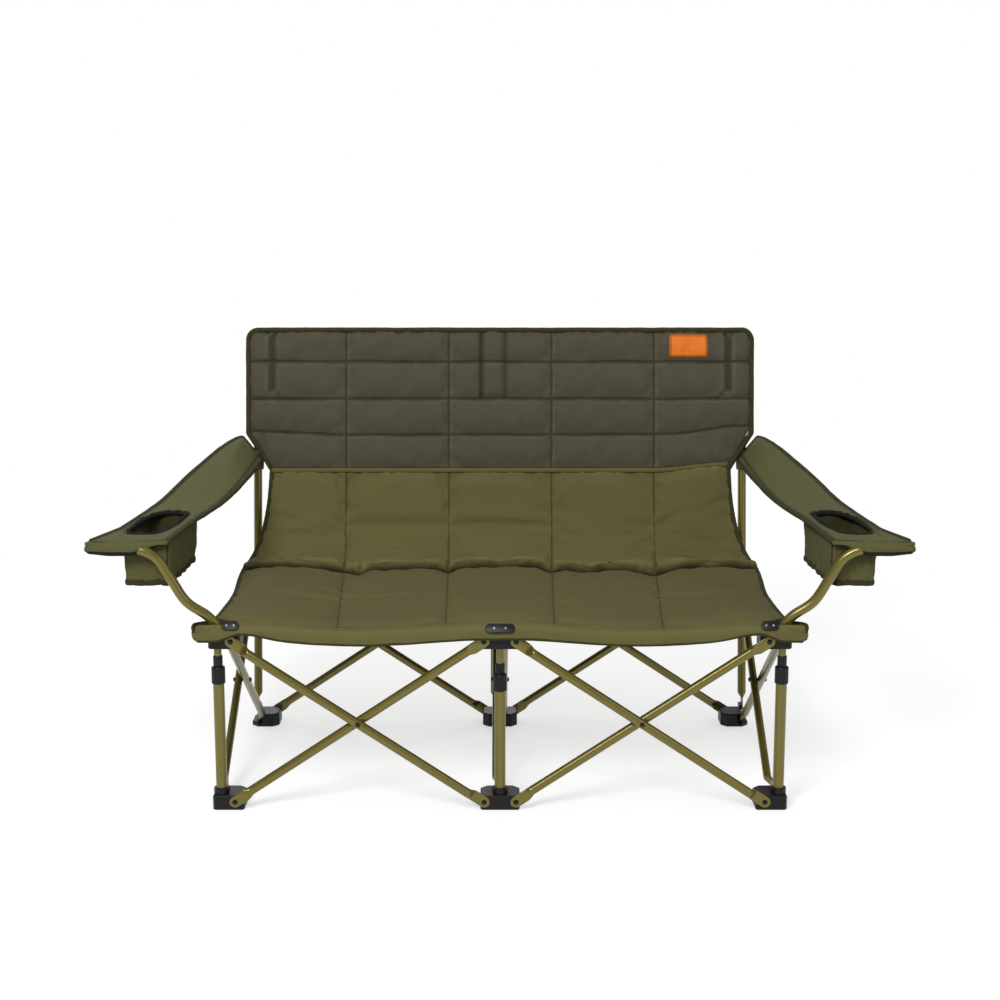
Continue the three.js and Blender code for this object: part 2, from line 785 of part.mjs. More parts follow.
// Frame: legs, sleeves, sliding rods and arm tubes
for (const side of ['left', 'centre', 'right']) {
  const length = side === 'centre' ? centreLegLength : cornerLegLength;
  addPiece(`front_${side}_leg`, legGeometry(length), paint).position.x = columnX(side);
  addPiece(`front_${side}_sleeve`, sleeveGeometry(length), plastic).position.x = columnX(side);
}
addPiece('front_centre_rod', toGeometry(bar(
  [0, 0, rodBottom], [0, 0, hubTop - edgeBevel], rodDiameter, tubeSides)), paint);
for (const side of ['left', 'right']) {
  addPiece(`${side}_arm_tube`, armTubeGeometry(side), paint);
}

// Frame: rear posts, each in a frame of its own that leans back from its pin
const sharedPost = postGeometry();
for (const side of ['left', 'centre', 'right']) {
  const frame = new THREE.Group();
  frame.position.set(postX(side), rowDepth, postPinHeight);
  frame.rotation.x = -leanRad;
  model.add(frame);
  const post = addPiece(`rear_${side}_post`, sharedPost, paint, frame);
  post.quaternion.setFromRotationMatrix(new THREE.Matrix4().makeBasis(
    new THREE.Vector3(0, 0, 1), new THREE.Vector3(0, 1, 0), new THREE.Vector3(-1, 0, 0)));
}

// Sling, upper back: quilted, with pockets that drop over the tops of the posts
const backFront = postDiameter / 2 + hubRest;

function backHalfWidthAt(height) {
  const rise = THREE.MathUtils.clamp((height - backSeamHeight) / backShoulderHeight, 0, 1);
  const side = THREE.MathUtils.lerp(backWaistHalfWidth, backHalfWidth, rise ** 1.3);
  const intoCorner = height - (backTopHeight - backCornerRadius);
  if (intoCorner <= 0) return side;
  return side - backCornerRadius + Math.sqrt(Math.max(backCornerRadius ** 2 - intoCorner ** 2, 0));
}

function upperBackGeometry() {
  const surface = (u, v, layer) => {
    const height = THREE.MathUtils.lerp(backSeamHeight + panelGap / 2, backTopHeight, v);
    const x = (2 * u - 1) * backHalfWidthAt(height);
    const puff = quiltRise * quilt(u, quiltColumns) * quilt(v, quiltRows);
    const swell = layer === 1 ? 0 : slingThickness + puff;
    return new THREE.Vector3(x, -backFront - swell, height);
  };
  const panel = paddedPanel(surface, quiltColumns * quiltSteps, quiltRows * 3);
  let solid = toSolid(panel);
  const [low, high] = [backTopHeight - pocketHeight, backTopHeight - 3];
  const bore = postDiameter + 2 * hubRest;
  for (const side of ['left', 'centre', 'right']) {
    const x = postX(side);
    const outer = bore + 2 * pocketWall;
    solid = solid.add(bar([x, 0, low], [x, 0, high], outer, tubeSides))
      .add(box([x - outer / 2, x + outer / 2], [-backFront - slingThickness / 2, 0], [low, high]));
  }
  for (const side of ['left', 'centre', 'right']) {
    const x = postX(side);
    solid = solid.subtract(bar([x, 0, low - cutOver], [x, 0, postLength + hubRest], bore, tubeSides));
  }
  return toGeometry(solid);
}
const backFrame = new THREE.Group();
backFrame.position.set(0, rowDepth, postPinHeight);
backFrame.rotation.x = -leanRad;
model.add(backFrame);
addPiece('upper_back', upperBackGeometry(), backCloth, backFrame);

// Sling, side profiles of the sitting surface over a column, from the seam down to the front hem
const seatLevel = hubTop + hubRest + slingThickness;
const creaseY = rowDepth - blockInnerDepth - creaseBehindHub;
const seatMiddle = creaseY / 2;
const pinHeadReach = blockFaceDepth + 2 * fitGap + braceTabThickness + pinHeadHeight;
const bandFace = -(pinHeadReach + hubRest + slingThickness);
const sleeveOuter = armDiameter / 2 + hubRest + armrestThickness;

function profile(points) {
  return new THREE.SplineCurve(points.map(([y, z]) => new THREE.Vector2(y, z)));
}

const seamPoint = [
  rowDepth + backSeamHeight * Math.sin(leanRad) - (backFront + slingThickness) * Math.cos(leanRad),
  postPinHeight + backSeamHeight * Math.cos(leanRad) + (backFront + slingThickness) * Math.sin(leanRad),
];
const lowerBackProfile = profile([
  seamPoint,
  [seamPoint[0] - 20, seamPoint[1] - 76],
  [seamPoint[0] - 50, seamPoint[1] - 138],
  [creaseY + 40, seatLevel + 24],
  [creaseY, seatLevel + creaseRise],
]);
const seatProfile = profile([
  [creaseY, seatLevel + creaseRise],
  [creaseY - 80, seatLevel - seatDip / 2],
  [seatMiddle + 20, seatLevel - seatDip],
  [120, seatLevel - seatDip / 2],
  [blockInnerDepth, seatLevel + 0.5],
  [-8, seatLevel + seatLipRise * 0.6],
  [bandFace + 8, seatLevel + seatLipRise],
  [bandFace + 1, seatLevel - 4],
  [bandFace, seatLevel - seatBandHeight],
]);

// A point of the sling: across, along its profile, on its face (layer 0) or underside (layer 1)
function slingPoint(curve, x, along, layer, swell, sag) {
  const here = curve.getPoint(along);
  const tangent = curve.getTangent(along);
  const depth = layer === 1 ? slingThickness : -swell;
  return new THREE.Vector3(x, here.x - tangent.y * depth, here.y + tangent.x * depth - sag * hang(x));
}

function lowerBackGeometry() {
  const surface = (u, v, layer) => {
    const along = v * (1 - creaseGapShare);
    const half = THREE.MathUtils.lerp(backWaistHalfWidth, creaseHalfWidth, along ** 1.6);
    const swell = quiltRise * quilt(u, quiltColumns) * Math.sin(Math.PI * v) ** 0.6;
    const sag = creaseSag * THREE.MathUtils.smoothstep(along, 0.25, 1);
    return slingPoint(lowerBackProfile, (1 - 2 * u) * half, along, layer, swell, sag);
  };
  return paddedPanel(surface, quiltColumns * quiltSteps, lowerBackRows);
}

// Half width of the seat: narrower beside the arm tubes, wide again in the ears of the front band
function seatWidthAt(y, z) {
  if (y > -blockFaceDepth / 2) {
    const turn = THREE.MathUtils.smoothstep(y, armDiameter / 2, blockInnerDepth);
    const flare = THREE.MathUtils.smoothstep(y, seatMiddle, creaseY);
    return THREE.MathUtils.lerp(
      seatCornerHalfWidth, THREE.MathUtils.lerp(seatHalfWidth, creaseHalfWidth, flare), turn);
  }
  const wrap = THREE.MathUtils.smoothstep(
    -y, -bandFace - slingThickness * 2, -bandFace - slingThickness / 2);
  const droop = THREE.MathUtils.smoothstep(seatLevel - z, seatBandHeight / 2, seatBandHeight);
  return THREE.MathUtils.lerp(seatCornerHalfWidth, seatBandHalfWidth, wrap) - seatEarRounding * droop;
}

// How deep the front band hangs: least beside the corner hubs, full in its ears
function seatBandShareAt(x) {
  const reach = Math.abs(x);
  if (reach > seatBandNarrowest) {
    return THREE.MathUtils.lerp(
      seatBandCornerShare, 1, THREE.MathUtils.smoothstep(reach, seatBandNarrowest, legX));
  }
  const narrowing = THREE.MathUtils.smoothstep(reach, seatBandNarrowFrom, seatBandNarrowest);
  return THREE.MathUtils.lerp(seatBandShare, seatBandCornerShare, narrowing);
}

// A half of the seat, between two shares of its profile
function seatGeometry(from, to, rowsCount) {
  const surface = (u, v, layer) => {
    const along = THREE.MathUtils.lerp(from, to, v);
    const here = seatProfile.getPoint(along);
    const x = (1 - 2 * u) * seatWidthAt(here.x, here.y);
    const filled = THREE.MathUtils.smoothstep(here.x, 0, blockInnerDepth)
      * (1 - THREE.MathUtils.smoothstep(here.x, creaseY - blockInnerDepth, creaseY));
    const swell = quiltRise * quilt(u, quiltColumns) * filled;
    const toCrease = THREE.MathUtils.smoothstep(here.x, 0, creaseY);
    const sag = THREE.MathUtils.lerp(seatSag, creaseSag, toCrease);
    const point = slingPoint(seatProfile, x, along, layer, swell, sag);
    if (here.x < 0) point.z += Math.max(seatLevel - here.y, 0) * (1 - seatBandShareAt(x));
    return point;
  };
  return paddedPanel(surface, quiltColumns * quiltSteps, rowsCount);
}
addPiece('lower_back', lowerBackGeometry(), oliveCloth);
addPiece('seat_rear', seatGeometry(creaseGapShare, seatSplit - creaseGapShare, seatRearRows), oliveCloth);
addPiece('seat_front', seatGeometry(seatSplit + creaseGapShare, 1, seatFrontRows), oliveCloth);

// Armrests: a sheet with an opening, a sleeve round the tube's end and a loop round the post
function armrestTop(y) {
  return upperPivotHeight + armRise + sleeveOuter - armrestSink + armrestSlope * (y + armBackset);
}

// Towards the back the armrest turns on its side, with its outer edge up against the corner of the back
function armrestTwist(across, y) {
  const inner = armrestInnerEdge.at(-1)[0];
  const [outer, rearmost] = armrestOuterEdge[0];
  const along = THREE.MathUtils.smoothstep(y, armrestTwistFrom, rearmost);
  return armrestTwistRise * along * THREE.MathUtils.clamp((across - inner) / (outer - inner), 0, 1);
}

function armrestGeometry(side) {
  const hand = columns[side];
  const plan = (points) => points.map(([across, y]) => new THREE.Vector2(hand * across, y));
  const tip = legX + armTipReach + hubRest + armrestThickness;
  const outline = new THREE.Shape();
  outline.moveTo(hand * armrestInnerEdge[0][0], armrestInnerEdge[0][1]);
  outline.splineThru(plan(armrestInnerEdge.slice(1)));
  outline.splineThru(plan(armrestOuterEdge));
  outline.lineTo(hand * tip, -armBackset);
  outline.lineTo(hand * (tip - armrestTipCut), -armBackset - sleeveOuter / 2);
  outline.lineTo(hand * (legX + armTipReach - armrestSleeveLength), -armBackset - sleeveOuter / 2);
  const opening = new THREE.Path();
  opening.absellipse(hand * cupAcross, cupAlong, cupWidth / 2, cupLength / 2, 0, 2 * Math.PI, hand < 0,
    hand * THREE.MathUtils.degToRad(cupTurn));
  outline.holes.push(opening);
  const sheet = new THREE.ExtrudeGeometry(outline, {
    depth: armrestThickness, bevelEnabled: false, curveSegments: 3,
  });
  const spots = sheet.attributes.position;
  for (let k = 0; k < spots.count; k += 1) {
    const top = armrestTop(spots.getY(k)) + armrestTwist(Math.abs(spots.getX(k)), spots.getY(k));
    spots.setZ(k, spots.getZ(k) - armrestThickness + top);
  }
  const end = hand * (legX + armTipReach);
  const [y, z] = [-armBackset, upperPivotHeight + armRise];
  const sleeveFrom = end - hand * armrestSleeveLength;
  const sleeve = bar([sleeveFrom, y, z], [hand * tip, y, z], 2 * sleeveOuter, armSides);
  const [hemAcross, hemAlong] = armrestInnerEdge[0];
  const hemHeight = armrestTop(0) - armrestHemDiameter / 2;
  const hemFrom = [hand * hemAcross, hemAlong, hemHeight];
  const hemTo = [sleeveFrom + hand * armrestHemOverlap, y - sleeveOuter / 2, hemHeight];
  const loopAt = (v) => [
    postX(side), rowDepth + v * Math.sin(leanRad), postPinHeight + v * Math.cos(leanRad)];
  const low = armrestLoopMiddle - armrestLoopHeight / 2;
  const high = armrestLoopMiddle + armrestLoopHeight / 2;
  const bore = postDiameter + 2 * hubRest;
  return toGeometry(toSolid(sheet)
    .add(sleeve)
    .add(bar(hemFrom, hemTo, armrestHemDiameter))
    .add(bar(loopAt(low), loopAt(high), bore + 2 * armrestLoopWall, tubeSides))
    .subtract(bar(loopAt(low - cutOver), loopAt(high + armrestTwistRise), bore, tubeSides))
    .subtract(armBend(side, armDiameter + 2 * hubRest, armTipReach + hubRest)));
}

// Cup pockets: an open bag with soft corners, hung under the opening
function pouchRing(side, inset, height, taper) {
  const hand = columns[side];
  const half = pouchWidth / 2 - inset - taper;
  const [y0, y1] = [pouchFront + inset + taper, pouchFront + pouchLength - inset - taper];
  const radius = pouchCornerRadius;
  const corners = [[half, y0, -90], [half, y1, 0], [-half, y1, 90], [-half, y0, 180]];
  const ring = [];
  for (const [x, y, start] of corners) {
    for (const turn of [0, 45, 90]) {
      const angle = THREE.MathUtils.degToRad(start + turn);
      const px = x - Math.sign(x) * radius + radius * Math.cos(angle);
      const py = y + (y === y0 ? radius : -radius) + radius * Math.sin(angle);
      const across = pouchAcross - pouchSkew * (py - pouchFront);
      ring.push(new THREE.Vector3(hand * across + px, py, height(py)));
    }
  }
  return ring;
}

function pouchGeometry(side) {
  const rim = (y) => armrestTop(y) - armrestThickness - hubRest;
  const levels = [0, 0.5, 1];
  const slope = (y) => pouchBottomSlope * (y - pouchFront);
  const between = (share, base) => (y) => THREE.MathUtils.lerp(base + slope(y), rim(y), share);
  const floor = pouchBottomHeight + pouchWall;
  const outer = levels.map((share) => (
    pouchRing(side, 0, between(share, pouchBottomHeight), pouchTaper * (1 - share))));
  const inner = [...levels].reverse().map((share) => (
    pouchRing(side, pouchWall, between(share, floor), pouchTaper * (1 - share))));
  return loft([...outer, ...inner]);
}

// Where a plate lies on the rounded front edge of the seat, leaning back by its tilt
const plateLean = THREE.MathUtils.degToRad(plateTilt);
function plateSpotOnLip() {
  const [out, up] = [new THREE.Vector2(-Math.cos(plateLean), Math.sin(plateLean)),
    new THREE.Vector2(Math.sin(plateLean), Math.cos(plateLean))];
  const centre = seatLevel + plateRise;
  const reach = Math.max(...seatProfile.getSpacedPoints(200).map((point) => {
    const level = new THREE.Vector2(point.x - bandFace, point.y - centre);
    return Math.abs(level.dot(up)) < plateHeight ? level.dot(out) : -Infinity;
  }));
  const lift = reach + plateRest;
  return { y: bandFace + out.x * lift, z: centre + out.y * lift };
}
const plateSpot = plateSpotOnLip();

// Plates that hold the front band to the front hubs
function plateGeometry(width, rivetXs) {
  const radius = plateHeight / 2;
  const shape = new THREE.Shape();
  shape.absarc(width / 2 - radius, 0, radius, -Math.PI / 2, Math.PI / 2, false);
  shape.absarc(radius - width / 2, 0, radius, Math.PI / 2, Math.PI * 1.5, false);
  let plate = toSolid(new THREE.ExtrudeGeometry(shape, {
    depth: plateThickness, bevelEnabled: false, curveSegments: 5,
  }));
  for (const x of rivetXs) {
    plate = plate.add(rivetHead([x, 0, plateThickness], [0, 0, 1], plateRivetDiameter, plateRivetHeight));
  }
  return toGeometry(plate).rotateX(Math.PI / 2);
}

for (const side of ['left', 'right']) {
  addPiece(`${side}_armrest`, armrestGeometry(side), armCloth);
  addPiece(`${side}_cup_pocket`, pouchGeometry(side), armCloth);
}
for (const side of ['left', 'centre', 'right']) {
  const wide = side === 'centre';
  const spacing = wide ? plateRivetSpacing : cornerRivetSpacing;
  const plate = addPiece(`front_${side}_plate`, plateGeometry(
    wide ? centrePlateWidth : cornerPlateWidth, [-spacing / 2, spacing / 2]), plastic);
  plate.rotation.x = -plateLean;
  plate.position.set(columns[side] * (legX - cornerPlateInset), plateSpot.y, plateSpot.z);
}

// The whole chair stands centred over its origin
const bounds = new THREE.Box3().setFromObject(model, true);
const centre = bounds.getCenter(new THREE.Vector3());
model.position.set(-centre.x, -centre.y, -bounds.min.z);

export default model;
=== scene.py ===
# Folding camping loveseat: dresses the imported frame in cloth, paint and plastic.
import bisect
import math
import bmesh
import bpy
from mathutils import Matrix, Vector, noise
from mathutils.bvhtree import BVHTree
from mathutils.kdtree import KDTree


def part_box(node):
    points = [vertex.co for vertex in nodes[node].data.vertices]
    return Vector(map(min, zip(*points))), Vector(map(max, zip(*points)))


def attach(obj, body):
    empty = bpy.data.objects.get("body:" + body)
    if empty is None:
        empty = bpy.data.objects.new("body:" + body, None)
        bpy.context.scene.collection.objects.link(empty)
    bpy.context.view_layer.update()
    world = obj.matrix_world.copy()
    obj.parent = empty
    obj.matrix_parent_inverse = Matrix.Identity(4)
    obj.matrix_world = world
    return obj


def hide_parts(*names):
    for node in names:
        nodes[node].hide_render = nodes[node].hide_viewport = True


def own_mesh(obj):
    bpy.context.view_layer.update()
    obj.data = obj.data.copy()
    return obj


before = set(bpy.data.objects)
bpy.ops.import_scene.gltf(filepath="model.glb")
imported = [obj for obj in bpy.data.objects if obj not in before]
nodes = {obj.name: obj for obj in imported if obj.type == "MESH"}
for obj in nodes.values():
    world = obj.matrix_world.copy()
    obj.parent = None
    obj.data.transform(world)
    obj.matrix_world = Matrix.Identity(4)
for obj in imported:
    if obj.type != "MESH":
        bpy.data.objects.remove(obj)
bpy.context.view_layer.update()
print("frame loaded,", len(nodes), "solids")

# sizes shared by several pieces, in metres, measured from the front legs' row
chair = {
    "legX": 0.5525, "rowDepth": 0.55, "hubTop": 0.366, "lean": math.radians(10), "postPin": 0.03,
    "postRadius": 0.0095, "armTubeHeight": 0.527, "armTubeBackset": 0.012, "footRear": 0.042,
}
rowShift = chair["footRear"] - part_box("front_centre_foot")[1].y
sides = {"left": -1, "right": 1}
sideways, upwards, downwards = Vector((1, 0, 0)), Vector((0, 0, 1)), Vector((0, 0, -1))


def place(x, y, z):
    return Vector((x, y - rowShift, z))


def lerp(a, b, t):
    return a + (b - a) * t


def spread(a, b, count):
    return [lerp(a, b, k / count) for k in range(count + 1)]


# even angles round a circle, from a start given in steps
def turnsRound(count, start=0):
    return [2 * math.pi * (k + start) / count for k in range(count)]


def clamp(x, low=0.0, high=1.0):
    return max(low, min(high, x))


def smooth(x, low, high):
    t = clamp((x - low) / (high - low))
    return t * t * (3 - 2 * t)


def ripple(x, y, z):
    return noise.noise(Vector((x, y, z)))


def srgb(r, g, b):
    def one(c):
        c /= 255
        return c / 12.92 if c <= 0.04045 else ((c + 0.055) / 1.055) ** 2.4
    return (one(r), one(g), one(b), 1)


def tint(color, gain, lift=0):
    return srgb(*[min(255, c * gain + lift) for c in color])


def addObject(name, data):
    made = bpy.data.objects.new(name, data)
    bpy.context.scene.collection.objects.link(made)
    return made


# camera, light and floor
view = {"back": 3.1808, "height": 1.2038, "pitch": 10.385, "lens": 60.49}
camera = addObject("photoCamera", bpy.data.cameras.new("photoCamera"))
camera.data.lens = view["lens"]
camera.data.sensor_width = 36
camera.location = place(0, -view["back"], view["height"])
camera.rotation_euler = (math.radians(90 - view["pitch"]), 0, 0)
bpy.context.scene.camera = camera
bpy.context.scene.view_settings.view_transform = "Standard"

# each soft box: its place, its width, its power and the point that it faces
lamps = {
    "softKey": ((-1.1, -3.4, 3.1), 1.6, 128, (0, 0, 0.4)),
    "softFill": ((2.6, -2.2, 1.6), 2.2, 16, (0, 0, 0.4)),
    "backFill": ((-0.5, 3.6, 2.2), 2.6, 44, (0, 0, 0.45)),
    "topBox": ((0, 0.5, 3.4), 2.4, 14, (0, 0.1, 0.4)),
}
for name, (where, size, power, aim) in lamps.items():
    data = bpy.data.lights.new(name, "AREA")
    data.shape = "DISK"
    data.size = size
    data.energy = power
    lamp = addObject(name, data)
    lamp.location = where
    lamp.rotation_euler = (Vector(aim) - Vector(where)).to_track_quat("-Z", "Y").to_euler()


# small helpers for node trees
def addNode(tree, kind, settings=None, inputs=None):
    node = tree.nodes.new(kind)
    for key, value in (settings or {}).items():
        setattr(node, key, value)
    for key, value in (inputs or {}).items():
        if isinstance(value, bpy.types.NodeSocket):
            tree.links.new(value, node.inputs[key])
        else:
            node.inputs[key].default_value = value
    return node


def mathNode(tree, operation, *values):
    return addNode(tree, "ShaderNodeMath", {"operation": operation}, dict(enumerate(values))).outputs[0]


def noiseNode(tree, vector, **settings):
    return addNode(tree, "ShaderNodeTexNoise", None, {"Vector": vector, **settings}).outputs[0]


def mixColor(tree, factor, a, b, blend="MIX"):
    return addNode(tree, "ShaderNodeMix", {"data_type": "RGBA", "blend_type": blend},
                   {0: factor, 6: a, 7: b}).outputs[2]


# an empty tree with its named inputs and outputs
def newGroup(name, inputs, outputs, kind="ShaderNodeTree"):
    group = bpy.data.node_groups.new(name, kind)
    for label, socketKind, value in inputs:
        socket = group.interface.new_socket(label, in_out="INPUT", socket_type=socketKind)
        if value is not None:
            socket.default_value = value
    for label, socketKind in outputs:
        group.interface.new_socket(label, in_out="OUTPUT", socket_type=socketKind)
    return group, addNode(group, "NodeGroupInput").outputs, addNode(group, "NodeGroupOutput").inputs


def useGroup(tree, group, inputs):
    return addNode(tree, "ShaderNodeGroup", {"node_tree": group}, inputs).outputs


# plain weave over a UV map in metres: threads over and under, with uneven yarns
def weaveGroup():
    group, given, result = newGroup(
        "plainWeave",
        [("UV", "NodeSocketVector", None), ("Pitch", "NodeSocketFloat", 0.0006),
         ("Slub", "NodeSocketFloat", 0.4)],
        [("Height", "NodeSocketFloat"), ("Tone", "NodeSocketFloat")])
    perThread = mathNode(group, "DIVIDE", math.pi, given["Pitch"])
    scaled = addNode(group, "ShaderNodeVectorMath", {"operation": "SCALE"},
                     {0: given["UV"], "Scale": perThread}).outputs[0]
    split = addNode(group, "ShaderNodeSeparateXYZ", None, {0: scaled})
    warp = mathNode(group, "SINE", split.outputs[0])
    weft = mathNode(group, "SINE", split.outputs[1])
    over = mathNode(group, "GREATER_THAN", mathNode(group, "MULTIPLY", warp, weft), 0.0)
    first = mathNode(group, "ABSOLUTE", warp)
    second = mathNode(group, "ABSOLUTE", weft)
    flat = mathNode(group, "MULTIPLY_ADD", over, mathNode(group, "SUBTRACT", first, second), second)
    slub = noiseNode(group, given["UV"], Scale=420.0, Detail=3.0)
    uneven = mathNode(group, "MULTIPLY_ADD", mathNode(group, "SUBTRACT", slub, 0.5), given["Slub"], 1.0)
    group.links.new(mathNode(group, "MULTIPLY", flat, uneven), result["Height"])
    group.links.new(uneven, result["Tone"])
    return group


# soft crumples and uneven dye over the whole cloth
def crumpleGroup():
    group, given, result = newGroup(
        "clothCrumple",
        [("UV", "NodeSocketVector", None), ("Across", "NodeSocketFloat", 9.0)],
        [("Height", "NodeSocketFloat"), ("Tone", "NodeSocketFloat")])
    stretched = addNode(group, "ShaderNodeMapping", None,
                        {"Vector": given["UV"], "Scale": (1.0, 0.55, 1.0)}).outputs[0]
    large = noiseNode(group, stretched, Scale=given["Across"], Detail=2.0, Distortion=0.6)
    fine = noiseNode(group, given["UV"], Scale=60.0, Detail=3.0, Distortion=0.4)
    group.links.new(mathNode(group, "MULTIPLY_ADD", fine, 0.25, large), result["Height"])
    group.links.new(noiseNode(group, given["UV"], Scale=3.5, Detail=4.0), result["Tone"])
    return group


# grain and small scuffs of a hard surface, on object coordinates
def grainGroup():
    group, given, result = newGroup(
        "surfaceGrain",
        [("Vector", "NodeSocketVector", None), ("Grain", "NodeSocketFloat", 900.0),
         ("Scuffs", "NodeSocketFloat", 0.3)],
        [("Height", "NodeSocketFloat"), ("Scuff", "NodeSocketFloat"), ("Dust", "NodeSocketFloat")])
    group.links.new(noiseNode(group, given["Vector"], Scale=given["Grain"], Detail=2.0), result["Height"])
    streaks = noiseNode(group, given["Vector"], Scale=34.0, Detail=6.0, Roughness=0.72, Distortion=1.2)
    worn = mathNode(group, "SUBTRACT", 0.78, mathNode(group, "MULTIPLY", given["Scuffs"], 0.2))
    edge = mathNode(group, "SUBTRACT", streaks, worn)
    scuff = addNode(group, "ShaderNodeClamp", None, {0: mathNode(group, "MULTIPLY", edge, 9.0)}).outputs[0]
    group.links.new(scuff, result["Scuff"])
    group.links.new(noiseNode(group, given["Vector"], Scale=6.0, Detail=5.0), result["Dust"])
    return group


weave = weaveGroup()
crumple = crumpleGroup()
grain = grainGroup()


def emptyMaterial(name):
    material = bpy.data.materials.new(name)
    material.use_nodes = True
    material.node_tree.nodes.clear()
    return material, material.node_tree


def endMaterial(tree, shader):
    tree.links.new(shader.outputs[0], addNode(tree, "ShaderNodeOutputMaterial").inputs[0])


# woven cloth; the seam attribute darkens seam lines and paints shade into creases and grooves (above zero), and
# paints highlights on ridges (below zero)
def clothMaterial(name, color, dark, pitch=0.0006, bump=0.35, sheen=0.03, crumples=0.5):
    material, tree = emptyMaterial(name)
    uv = addNode(tree, "ShaderNodeUVMap", {"uv_map": "clothUV"}).outputs[0]
    threads = useGroup(tree, weave, {"UV": uv, "Pitch": pitch})
    folds = useGroup(tree, crumple, {"UV": uv})
    seam = addNode(tree, "ShaderNodeAttribute", {"attribute_name": "seam"}).outputs["Fac"]
    tone = mathNode(tree, "MULTIPLY_ADD", mathNode(tree, "SUBTRACT", folds["Tone"], 0.5), 0.35, 0.5)
    base = mixColor(tree, tone, tint(color, 0.9), tint(color, 1.09))
    yarn = mathNode(tree, "MULTIPLY_ADD", threads["Height"], 0.22, 0.84)
    worn = mixColor(tree, 1.0, base, yarn, "MULTIPLY")
    below = mathNode(tree, "MAXIMUM", mathNode(tree, "MULTIPLY", seam, -1.0), 0.0)
    highlighted = mixColor(tree, mathNode(tree, "MULTIPLY", below, 0.8), worn, tint(color, 1.42, 8))
    seamLineAndShade = mathNode(tree, "MULTIPLY", mathNode(tree, "MAXIMUM", seam, 0.0), 0.92)
    shaded = mixColor(tree, seamLineAndShade, highlighted, srgb(*dark))
    shader = addNode(tree, "ShaderNodeBsdfPrincipled", None,
                     {"Base Color": shaded, "Sheen Weight": sheen, "Sheen Roughness": 0.5,
                      "Specular IOR Level": 0.1,
                      "Roughness": mathNode(tree, "MULTIPLY_ADD", threads["Tone"], 0.12, 0.7)})
    soft = addNode(tree, "ShaderNodeBump", None,
                   {"Strength": crumples, "Distance": 0.004, "Height": folds["Height"]})
    fine = addNode(tree, "ShaderNodeBump", None,
                   {"Strength": bump, "Distance": pitch * 0.4, "Height": threads["Height"],
                    "Normal": soft.outputs[0]})
    tree.links.new(fine.outputs[0], shader.inputs["Normal"])
    endMaterial(tree, shader)
    return material


def hardMaterial(name, color, worn, roughness, metallic, grainScale, bump, coat=0.0, shine=0.5):
    material, tree = emptyMaterial(name)
    vector = addNode(tree, "ShaderNodeTexCoord").outputs["Object"]
    marks = useGroup(tree, grain, {"Vector": vector, "Grain": grainScale})
    dusty = mixColor(tree, mathNode(tree, "MULTIPLY_ADD", marks["Dust"], 0.3, -0.05),
                     srgb(*color), tint(color, 1.15, 6))
    base = mixColor(tree, marks["Scuff"], dusty, srgb(*worn))
    rough = mathNode(tree, "MULTIPLY_ADD", marks["Dust"], 0.16, roughness - 0.08)
    shader = addNode(tree, "ShaderNodeBsdfPrincipled", None,
                     {"Base Color": base, "Metallic": metallic, "Coat Weight": coat,
                      "Coat Roughness": 0.25, "Specular IOR Level": shine,
                      "Roughness": mathNode(tree, "MULTIPLY_ADD", marks["Scuff"], 0.2, rough)})
    relief = addNode(tree, "ShaderNodeBump", None,
                     {"Strength": bump, "Distance": 0.0004, "Height": marks["Height"]})
    tree.links.new(relief.outputs[0], shader.inputs["Normal"])
    endMaterial(tree, shader)
    return material


tapeWeave = {"pitch": 0.0011, "bump": 0.6, "crumples": 0.3}
looks = {
    "paint": hardMaterial("oliveGoldPaint", (111, 101, 42), (140, 131, 90), 0.3, 0.62, 700, 0.15, 0.3),
    "plastic": hardMaterial("blackNylon", (19, 19, 21), (46, 46, 48), 0.44, 0.0, 1500, 0.35, shine=0.26),
    "rivet": hardMaterial("darkRivet", (46, 44, 38), (96, 92, 80), 0.4, 0.7, 1200, 0.2),
    "brightRivet": hardMaterial("bareRivet", (150, 150, 150), (100, 100, 100), 0.3, 1.0, 1200, 0.1),
    # each cloth's second colour is what its seam lines and its painted shade darken to
    "seatCloth": clothMaterial("oliveSeatCloth", (98, 93, 57), (36, 34, 18)),
    # the band cloth is a lighter copy of the seat cloth: painted light on the front roll
    "bandLitCloth": clothMaterial("oliveBandLitCloth", (104, 99, 60), (66, 63, 38), crumples=0.3),
    "backCloth": clothMaterial("brownBackCloth", (81, 77, 63), (34, 32, 24)),
    "armCloth": clothMaterial("oliveArmCloth", (91, 90, 56), (46, 46, 27)),
    # darker copy of the cloth: painted shade inside the pockets and in the crease
    "shadeLining": clothMaterial("pocketShadeLining", (60, 58, 34), (34, 33, 20)),
    "binding": clothMaterial("bindingTape", (62, 60, 36), (40, 38, 24), **tapeWeave),
    # black tape for the opening rims; it also paints the shade under the arm tubes' hems
    "blackTapeAndHemShade": clothMaterial("blackTapeAndHemShade", (34, 34, 30), (20, 20, 18), **tapeWeave),
    "label": clothMaterial("orangePatch", (236, 127, 48), (150, 76, 28), pitch=0.0008, bump=0.3, crumples=0.1),
    "thread": hardMaterial("sewingThread", (70, 68, 44), (96, 92, 66), 0.7, 0.0, 2500, 0.3),
}

